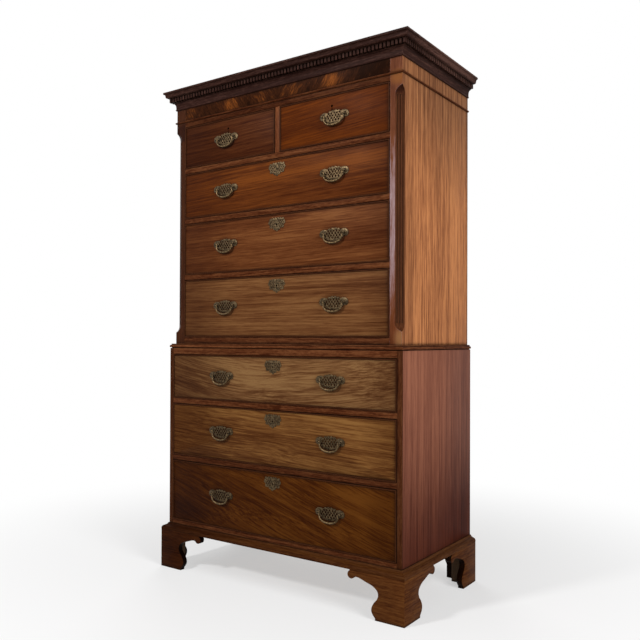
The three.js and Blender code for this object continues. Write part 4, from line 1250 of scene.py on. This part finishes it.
# How each drawer front's veneer was cut: where in the log it starts, how its grain slopes and
# bends, how it differs in colour, and its light and dark spots. The tints and spots are partly the
# veneer's own and partly painted light and shade: the middle drawers lighter, the top and bottom darker
WARM_LIGHT = (1.7, 1.8, 1.4)
FRONT_FIGURES = {
    "drawer_short_left": {
        "start": (1.2, 3.1, 0.4), "slope": 0.03, "tint": (0.32, 0.27, 0.27),
        "patches": [spot(-0.16, 1.6, 0.2, 0.05, 4, -0.15)]},
    "drawer_short_right": {
        "start": (2.4, 5.2, 1.3), "slope": 0.07, "tint": (0.4, 0.28, 0.14), "light": WARM_LIGHT,
        "patches": [spot(0.1, 1.61, 0.14, 0.03, 4, 0.3), spot(0.4, 1.67, 0.12, 0.05, 5, 0.15)]},
    "drawer_upper_1": {
        "start": (3.3, 1.7, 2.2), "slope": 0.03, "tint": (0.49, 0.41, 0.32), "light": WARM_LIGHT,
        "patches": [spot(0.32, 1.5, 0.24, 0.035, 3, 0.45), spot(-0.12, 1.49, 0.34, 0.02, 2, 0.3),
                    spot(0.38, 1.4, 0.14, 0.03, 0, -0.35)]},
    "drawer_upper_2": {
        "start": (4.8, 0.9, 3.6), "slope": 0.015, "tint": (0.62, 0.62, 0.66),
        "patches": [spot(-0.02, 1.262, 0.28, 0.02, 2, 0.45), spot(0.2, 1.325, 0.2, 0.022, 2, 0.35),
                    spot(0.38, 1.24, 0.15, 0.05, 0, -0.4)]},
    "drawer_upper_3": {
        "start": (5.5, 4.4, 4.1), "slope": 0.0, "tint": (0.66, 0.81, 0.98), "wave": 0.008,
        "patches": [spot(-0.28, 1.08, 0.2, 0.04, 0, 0.2), spot(0.12, 1.02, 0.3, 0.05, 0, 0.2),
                    spot(0.36, 1.09, 0.15, 0.04, 0, -0.2)]},
    "drawer_lower_1": {
        "start": (0.3, 6.3, 5.7), "slope": -0.14, "bend": 0.24, "wave": 0.05, "tint": (0.68, 0.7, 0.86),
        "patches": [spot(-0.14, 0.77, 0.34, 0.045, -14, 0.35), spot(0.25, 0.7, 0.2, 0.03, 0, 0.2)]},
    "drawer_lower_2": {
        "start": (1.9, 7.1, 6.9), "slope": -0.05, "wave": 0.03, "tint": (0.66, 0.6, 0.54),
        "patches": [spot(0.3, 0.615, 0.28, 0.03, -3, 0.3), spot(0.42, 0.5, 0.1, 0.04, 0, 0.25),
                    spot(-0.2, 0.6, 0.1, 0.02, 0, -0.25), spot(-0.14, 0.53, 0.25, 0.1, 0, -0.2)]},
    "drawer_lower_3": {
        "start": (2.9, 8.6, 7.4), "slope": -0.3, "wave": 0.05, "tint": (0.32, 0.205, 0.09),
        "patches": [spot(-0.1, 0.3, 0.2, 0.1, -32, -0.2), spot(0.34, 0.38, 0.2, 0.03, -6, 0.5),
                    spot(-0.38, 0.39, 0.12, 0.03, 0, 0.2), spot(-0.38, 0.25, 0.25, 0.08, 0, -0.35),
                    spot(0.42, 0.3, 0.25, 0.12, 0, 0.35)]},
}
# Drawer fronts darker towards both ends, most at the left: partly the veneer's own tone, partly painted
# shade
DARK_ENDS = ("MULTIPLY", (0.5, 0.42, 0.38), [
    spot(-0.5, 1, 0.36, ANYWHERE, 0, 0.75), spot(-0.5, 0.4, 0.4, 0.7, 0, 0.35),
    spot(0.5, 1, 0.15, ANYWHERE, 0, 0.6),
])
BEHIND_PLATE_HALF_WIDTH, BEHIND_PLATE_HALF_HEIGHT = 0.075, 0.04


def dark_behind_plates(node):
    """A darker patch of a drawer front round and behind the pierced plates of its handles"""
    patches = []
    for plate in PLATE_NODES:
        if plate.startswith(node.replace("drawer", "handle_plate")):
            low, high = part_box(plate)
            patches.append(spot((low.x + high.x) / 2, (low.z + high.z) / 2, BEHIND_PLATE_HALF_WIDTH,
                                BEHIND_PLATE_HALF_HEIGHT, 0, 1.0))
    return "MULTIPLY", (0.3, 0.24, 0.2), patches


def front_wood(node):
    figure = dict(FRONT_FIGURES[node])
    lower = "lower" in node
    color = shade(colours().lower_front if lower else colours().upper_front, figure.pop("tint"))
    return wood(f"{node}_veneer", color, ALONG_X, ribbon=0.8, streak=1.1 if lower else 0.85, length=4.0,
                rub=0.3, hold=0.9, reach=0.014, gloss=0.02, washes=[DARK_ENDS, dark_behind_plates(node)], **figure)


# How far behind a drawer's face its veneer and the lap over its dovetails end
VENEER = 0.006
LAP = 0.008
FRONT_ROUNDING = 0.0004
BEAD_ROUNDING = 0.0016
SIDE_ROUNDING = 0.0003
SIDE_DROP = 0.004
BACK_DROP = 0.014
BOTTOM_LIFT = 0.008
BOTTOM_THICKNESS = 0.007
# How far a dovetail's side stays from the pitch line, at its narrow and at its wide end
TAIL_NARROW = 0.007
TAIL_WIDE = 0.0035
FEWEST_TAILS = 2


def tail_heights(bottom, top):
    """Where the dovetails of a drawer side start and end"""
    count = max(FEWEST_TAILS, round((top - bottom) * 1000 / sizes().dovetails))
    pitch = (top - bottom) / count
    return [(bottom + pitch * at, bottom + pitch * (at + 1)) for at in range(count)]


class CHEST_OT_drawers(bpy.types.Operator):
    """Eight drawers: front, cockbeads, dovetailed sides, back and bottom"""
    bl_idname = "chest.drawers"
    bl_label = "Drawers"

    def execute(self, context):
        for node in DRAWER_NODES:
            self.add_drawer(node)
        return {"FINISHED"}

    def add_drawer(self, node):
        body = f"body_{node}"
        low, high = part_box(node)
        size = sizes()
        centre = (low.x + high.x) / 2
        half = (high.x - low.x) / 2
        inner = half - size.lining
        bead = size.cockbead
        face = low.y + size.bead_reach
        veneer_back = face + VENEER
        lap_back = face + LAP
        front_back = face + size.front
        lining_front = high.y - size.lining
        upright = facing_front((centre, veneer_back, 0))
        field = rectangle(-half + bead, low.z + bead, half - bead, high.z - bead)

        front = bmesh.new()
        key = keyhole(high.z - KEY_DROP, *((KEY_WEAR, LONG_KEY) if "short" in node else ()))
        add_outline(front, [field, key], veneer_back - face, upright, FRONT_ROUNDING)
        add_board(front, (centre - half, veneer_back, low.z), (centre + half, lap_back, high.z),
                  FRONT_ROUNDING)
        add_board(front, (centre - inner, lap_back, low.z), (centre + inner, front_back, high.z),
                  FRONT_ROUNDING)
        linings = bmesh.new()
        for x in (centre - half, centre + inner):
            self.dovetail(front, linings, x, lap_back, front_back, low, high)
        add_piece(f"{node}_front", front, front_wood(node), node, body)
        add_softwood(f"{node}_sides", linings, node, ALONG_Y, body=body)

        beads = bmesh.new()
        rim = [rectangle(-half, low.z, half, high.z), field]
        add_outline(beads, rim, veneer_back - low.y, upright, BEAD_ROUNDING)
        add_piece(f"{node}_cockbeads", beads, bead_wood(), node, body)

        bottom = low.z + BOTTOM_LIFT
        floor = board((centre - inner, front_back, bottom),
                      (centre + inner, lining_front, bottom + BOTTOM_THICKNESS))
        add_softwood(f"{node}_bottom", floor, node, ALONG_X, body=body)
        back = board((centre - inner, lining_front, bottom),
                     (centre + inner, high.y, high.z - BACK_DROP))
        add_softwood(f"{node}_back", back, node, ALONG_X, body=body)

    def dovetail(self, front, linings, x, lap_back, front_back, low, high):
        """A side whose tails are lapped into the front, and the front's pins between them"""
        thickness = sizes().lining
        side_top = high.z - SIDE_DROP
        place = facing_right((x, 0, 0))
        outline = [(front_back, low.z)]
        edges = [low.z]
        for start, end in tail_heights(low.z, side_top):
            outline += [(front_back, start + TAIL_NARROW), (lap_back, start + TAIL_WIDE),
                        (lap_back, end - TAIL_WIDE), (front_back, end - TAIL_NARROW)]
            edges.append(end)
        outline += [(front_back, side_top), (high.y, side_top), (high.y, low.z)]
        add_outline(linings, [corner(*outline)], thickness, place, SIDE_ROUNDING)
        for height in edges:
            below = [max(low.z, height - reach) for reach in (TAIL_WIDE, TAIL_NARROW)]
            above = [min(high.z, height + reach) if height < edges[-1] else high.z
                     for reach in (TAIL_WIDE, TAIL_NARROW)]
            pin = corner((lap_back, below[0]), (front_back, below[1]), (front_back, above[1]),
                         (lap_back, above[0]))
            add_outline(front, [pin], thickness, place)


BRASS_ROUNDING = 0.0003
BRASS_STEPS = 4
ESCUTCHEON_SIZE = (0.038, 0.025)
ESCUTCHEON_THICKNESS = 0.0015
# Right half of the outline from top to bottom, in shares of the size
ESCUTCHEON_HALF = [
    (0, 0.72, "VECTOR"), (0.12, 1, "AUTO"), (0.3, 0.86, "VECTOR"), (0.42, 1, "AUTO"),
    (0.6, 0.78, "VECTOR"), (0.78, 0.92, "AUTO"), (0.9, 0.62, "VECTOR"), (1, 0.2, "AUTO"),
    (0.8, -0.08, "VECTOR"), (0.84, -0.4, "AUTO"), (0.6, -0.52, "AUTO"), (0.44, -0.42, "VECTOR"),
    (0.36, -0.74, "AUTO"), (0.16, -0.78, "VECTOR"), (0, -1, "AUTO"),
]
# Piercings: height of a row, then how far across each one is
ESCUTCHEON_ROWS = (
    (0.0125, (0.009, 0.0175, 0.0255)), (0.006, (0.0125, 0.021, 0.029)),
    (-0.0005, (0.009, 0.0175, 0.0265)), (-0.007, (0.0125, 0.0215)),
)
ESCUTCHEON_PIERCING = (0.0023, 0.0036)
ESCUTCHEON_PINS = ((-0.034, 0.004), (0.034, 0.004), (0, -0.021))
PIN_HEAD = [(0, 0.0024), (0.0009, 0.0021), (0.0013, 0.0013)]


def both_halves(half, size):
    """A whole outline from its right half, top to bottom"""
    right = [(x * size[0], y * size[1], kind) for x, y, kind in half]
    left = [(-x, y, kind) for x, y, kind in reversed(right) if x > 0]
    return right + left


def lozenges(rows, size):
    """Lozenge piercings on both sides of the middle, with half width and half height"""
    wide, high = size
    outlines = []
    for up, places in rows:
        for across in places:
            for x in ((-across, across) if across else (0,)):
                outlines.append(corner((x, up + high), (x + wide, up), (x, up - high), (x - wide, up)))
    return outlines


class CHEST_OT_escutcheons(bpy.types.Operator):
    """Pierced escutcheons of the six long drawers"""
    bl_idname = "chest.escutcheons"
    bl_label = "Escutcheons"

    def execute(self, context):
        outlines = [both_halves(ESCUTCHEON_HALF, ESCUTCHEON_SIZE), keyhole(grow=KEY_CLEARANCE),
                    *lozenges(ESCUTCHEON_ROWS, ESCUTCHEON_PIERCING)]
        for node in DRAWER_NODES:
            if "short" in node:
                continue
            low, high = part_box(node)
            place = Vector(((low.x + high.x) / 2, low.y + sizes().bead_reach, high.z - KEY_DROP))
            bm = bmesh.new()
            add_outline(bm, outlines, ESCUTCHEON_THICKNESS, facing_front(place), BRASS_ROUNDING,
                        BRASS_STEPS)
            for x, z in ESCUTCHEON_PINS:
                spun(bm, PIN_HEAD, place + Vector((x, 0, z)), steps=8)
            add_piece(node.replace("drawer", "escutcheon"), bm, plate_brass(),
                      body=f"body_{node}")
        return {"FINISHED"}


PLATE_HALF_WIDTH = 0.059
PLATE_TOP = 0.019
PIVOT_REACH = 0.0095
# Right half of the outline, in shares of the half width and of the height above the posts
PLATE_HALF = [
    (0, 0.84, "VECTOR"), (0.1, 1, "AUTO"), (0.22, 0.79, "VECTOR"), (0.34, 0.87, "AUTO"),
    (0.46, 0.53, "VECTOR"), (0.56, 0.68, "AUTO"), (0.75, 0.71, "AUTO"), (0.92, 0.5, "AUTO"),
    (1, 0.05, "AUTO"), (0.95, -0.47, "AUTO"), (0.81, -0.62, "AUTO"), (0.67, -0.5, "VECTOR"),
    (0.63, -0.78, "AUTO"), (0.52, -0.95, "VECTOR"), (0.45, -1.17, "AUTO"), (0.32, -1.22, "VECTOR"),
    (0.21, -1.38, "AUTO"), (0.08, -1.34, "VECTOR"), (0, -1.42, "AUTO"),
]
PLATE_ROWS = (
    (0.0078, (0, 0.0118, 0.0225)), (0.0002, (0.0059, 0.0177, 0.029)),
    (-0.0074, (0, 0.0118, 0.0236, 0.0335)), (-0.015, (0.0059, 0.0177)),
)
PLATE_PIERCING = (0.0041, 0.0053)
POST_PROFILE = [
    (0, 0.0014), (0.007, 0.0014), (0.007, 0.0022), (0.0062, 0.003), (0.0046, 0.0034), (0.004, 0.0044),
    (0.0035, 0.0056), (0.0039, 0.0068), (0.00435, 0.0082), (0.0045, 0.0095), (0.0043, 0.011),
    (0.0034, 0.0124), (0.0018, 0.0132), (0, 0.0135),
]
# Right half of a bail: share of the way out, share of the way down, radius
BAIL_HALF = [
    (1, 0, 0.0023), (0.975, 0.005, 0.0023), (0.94, 0.09, 0.002), (0.948, 0.3, 0.0022),
    (0.89, 0.56, 0.0027), (0.71, 0.79, 0.0031), (0.4, 0.94, 0.0034), (0, 1, 0.0036),
]
BAIL_INSET = 0.0048
PIN_RADIUS = 0.0014
PIN_LENGTH = 0.0025
PIN_OVERLAP = 0.0004


def handle_place(node):
    """Where a handle's pivot line crosses the drawer's face"""
    low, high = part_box(node)
    return Vector(((low.x + high.x) / 2, high.y, high.z - PLATE_TOP))


class CHEST_OT_handle_plates(bpy.types.Operator):
    """Pierced handle plates with their turned posts"""
    bl_idname = "chest.handle_plates"
    bl_label = "Handle plates"

    def execute(self, context):
        outlines = [both_halves(PLATE_HALF, (PLATE_HALF_WIDTH, PLATE_TOP)),
                    *lozenges(PLATE_ROWS, PLATE_PIERCING)]
        for node in PLATE_NODES:
            label = node.replace("handle_plate_", "")
            place = handle_place(node)
            bm = bmesh.new()
            add_outline(bm, outlines, sizes().plate, facing_front(place), BRASS_ROUNDING, BRASS_STEPS)
            for side in (-1, 1):
                spun(bm, POST_PROFILE, place + Vector((side * sizes().post_spread / 2, 0, 0)))
            drawer = label if "short" in label else label.rsplit("_", 1)[0]
            add_piece(f"plate_and_posts_{label}", bm, plate_brass(), node,
                      f"body_drawer_{drawer}")
        return {"FINISHED"}


class CHEST_OT_bails(bpy.types.Operator):
    """Swan neck bails that hang from the posts"""
    bl_idname = "chest.bails"
    bl_label = "Bails"

    def execute(self, context):
        for node in PLATE_NODES:
            label = node.replace("handle_plate_", "")
            place = handle_place(node) - Vector((0, PIVOT_REACH, 0))
            add_piece(f"bow_{label}", self.bow(place), brass("bail_brass", 0.75),
                      f"bail_{label}", f"body_bail_{label}", smooth_below=60)
        return {"FINISHED"}

    def bow(self, place):
        start = sizes().post_spread / 2 - BAIL_INSET
        right = [(x * start, -down * sizes().bail_drop, radius) for x, down, radius in BAIL_HALF]
        route = right + [(-x, z, radius) for x, z, radius in reversed(right[:-1])]
        curve = bpy.data.curves.new("bow", "CURVE")
        curve.dimensions = "3D"
        curve.bevel_depth = 1
        curve.bevel_resolution = 3
        curve.resolution_u = 4
        curve.use_fill_caps = True
        bm = from_curve(curve, [[((x, 0, z), "AUTO", radius) for x, z, radius in route]], False)
        bmesh.ops.remove_doubles(bm, verts=bm.verts, dist=WELD)
        bmesh.ops.recalc_face_normals(bm, faces=bm.faces)
        for side in (-1, 1):
            middle = Matrix.Translation((side * (start + PIN_LENGTH / 2 - PIN_OVERLAP), 0, 0))
            bmesh.ops.create_cone(bm, cap_ends=True, segments=12, radius1=PIN_RADIUS,
                                  radius2=PIN_RADIUS, depth=PIN_LENGTH,
                                  matrix=middle @ Matrix.Rotation(radians(90), 4, "Y"))
        bmesh.ops.translate(bm, verts=bm.verts, vec=place)
        return bm


# Stage, lights and camera
CAMERA_PLACE = (1.6399, -2.2954, 0.8958)
CAMERA_YAW, CAMERA_PITCH, CAMERA_ROLL = 35.10, 0.558, 0.207
# A focal length of 731.5 pixels, for a picture 640 pixels wide and a sensor 36 mm wide
CAMERA_LENS = 731.5 * 36 / 640
CAMERA_SHIFT = 0.02
LAMPS = {
    "side": {"place": (3.9, -1.3, 2.5), "size": 2.0, "power": 135},
    "front": {"place": (-0.9, -3.2, 2.9), "size": 0.5, "power": 92},
    "back": {"place": (-2.6, 2.8, 2.8), "size": 2.6, "power": 60},
}
LAMP_TARGET = (0, 0, 0.9)
AMBIENT = 0.17
WHITE = (1, 1, 1, 1)
FLOOR_HALF = 30.0
# The floor glows white by this share near the chest, and fades to all white between two distances
FLOOR_GLOW = 0.5
FLOOR_NEAR, FLOOR_FAR = 0.5, 2.2


class CHEST_OT_stage(bpy.types.Operator):
    """Pale floor, soft lamps, white surroundings and the camera"""
    bl_idname = "chest.stage"
    bl_label = "Stage"

    def execute(self, context):
        self.add_floor()
        self.add_lamps()
        self.add_world()
        self.add_camera()
        bpy.context.scene.view_settings.view_transform = "Standard"
        return {"FINISHED"}

    def add_floor(self):
        """A floor that keeps the chest's shadow near it and fades to white farther out"""
        bm = bmesh.new()
        bmesh.ops.create_grid(bm, x_segments=1, y_segments=1, size=FLOOR_HALF)
        floor = add_object("floor", to_mesh(bm, "floor"))
        material, tree = new_material("pale_floor")
        distance = add_node(tree, "VectorMath", {0: object_place(tree)}, operation="LENGTH")
        far = ease(tree, distance.outputs["Value"], FLOOR_NEAR, FLOOR_FAR)
        white_share = calculate(tree, "MULTIPLY_ADD", far, 1 - FLOOR_GLOW, FLOOR_GLOW)
        plain = add_node(tree, "BsdfDiffuse", {"Color": (*colours().floor, 1)}).outputs[0]
        white = add_node(tree, "Emission", {"Color": WHITE, "Strength": 1.0}).outputs[0]
        share = calculate(tree, "MULTIPLY", white_share, shown(tree))
        blend = add_node(tree, "MixShader", {0: share, 1: plain, 2: white}).outputs[0]
        add_node(tree, "OutputMaterial", {"Surface": blend})
        floor.data.materials.append(material)

    def add_lamps(self):
        for name, lamp in LAMPS.items():
            light = bpy.data.lights.new(name, "AREA")
            light.shape = "DISK"
            light.size = lamp["size"]
            light.energy = lamp["power"]
            place = Vector(lamp["place"])
            turn = (Vector(LAMP_TARGET) - place).to_track_quat("-Z", "Y").to_matrix().to_4x4()
            add_object(name, light).matrix_world = Matrix.Translation(place) @ turn

    def add_world(self):
        """White where it is seen, and a weaker light on the chest"""
        world = bpy.data.worlds.new("surroundings")
        bpy.context.scene.world = world
        world.use_nodes = True
        tree = world.node_tree
        tree.nodes.clear()
        strength = calculate(tree, "MULTIPLY_ADD", shown(tree), 1.0 - AMBIENT, AMBIENT)
        light = add_node(tree, "Background", {"Color": WHITE, "Strength": strength}).outputs[0]
        add_node(tree, "OutputWorld", {"Surface": light})

    def add_camera(self):
        data = bpy.data.cameras.new("camera")
        data.lens = CAMERA_LENS
        data.shift_y = CAMERA_SHIFT
        camera = add_object("camera", data)
        camera.matrix_world = (Matrix.Translation(CAMERA_PLACE)
                               @ Matrix.Rotation(radians(CAMERA_YAW), 4, "Z")
                               @ Matrix.Rotation(radians(90 + CAMERA_PITCH), 4, "X")
                               @ Matrix.Rotation(radians(CAMERA_ROLL), 4, "Z"))
        bpy.context.scene.camera = camera


OPERATORS = (
    CHEST_OT_stage,
    CHEST_OT_feet,
    CHEST_OT_base_moulding,
    CHEST_OT_side_boards,
    CHEST_OT_backs,
    CHEST_OT_dividers,
    CHEST_OT_waist_moulding,
    CHEST_OT_fluted_corners,
    CHEST_OT_frieze,
    CHEST_OT_cornice,
    CHEST_OT_drawers,
    CHEST_OT_escutcheons,
    CHEST_OT_handle_plates,
    CHEST_OT_bails,
)


class CHEST_PT_panel(bpy.types.Panel):
    """Lists the steps that dress the chest"""
    bl_idname = "CHEST_PT_panel"
    bl_label = "Chest on chest"
    bl_space_type = "VIEW_3D"
    bl_region_type = "UI"
    bl_category = "Chest"

    def draw(self, context):
        for group in (sizes(), colours()):
            for name in group.bl_rna.properties.keys():
                if name not in ("rna_type", "name"):
                    self.layout.prop(group, name)
        for operator in OPERATORS:
            self.layout.operator(operator.bl_idname)


CLASSES = (ChestSizes, ChestColours, *OPERATORS, CHEST_PT_panel)


def register():
    for item in CLASSES:
        bpy.utils.register_class(item)
    bpy.types.Scene.chest_sizes = PointerProperty(type=ChestSizes)
    bpy.types.Scene.chest_colours = PointerProperty(type=ChestColours)


def unregister():
    del bpy.types.Scene.chest_colours
    del bpy.types.Scene.chest_sizes
    for item in reversed(CLASSES):
        bpy.utils.unregister_class(item)


def main():
    register()
    for operator in OPERATORS:
        group, name = operator.bl_idname.split(".")
        getattr(getattr(bpy.ops, group), name)()


if __name__ == "__main__":
    main()
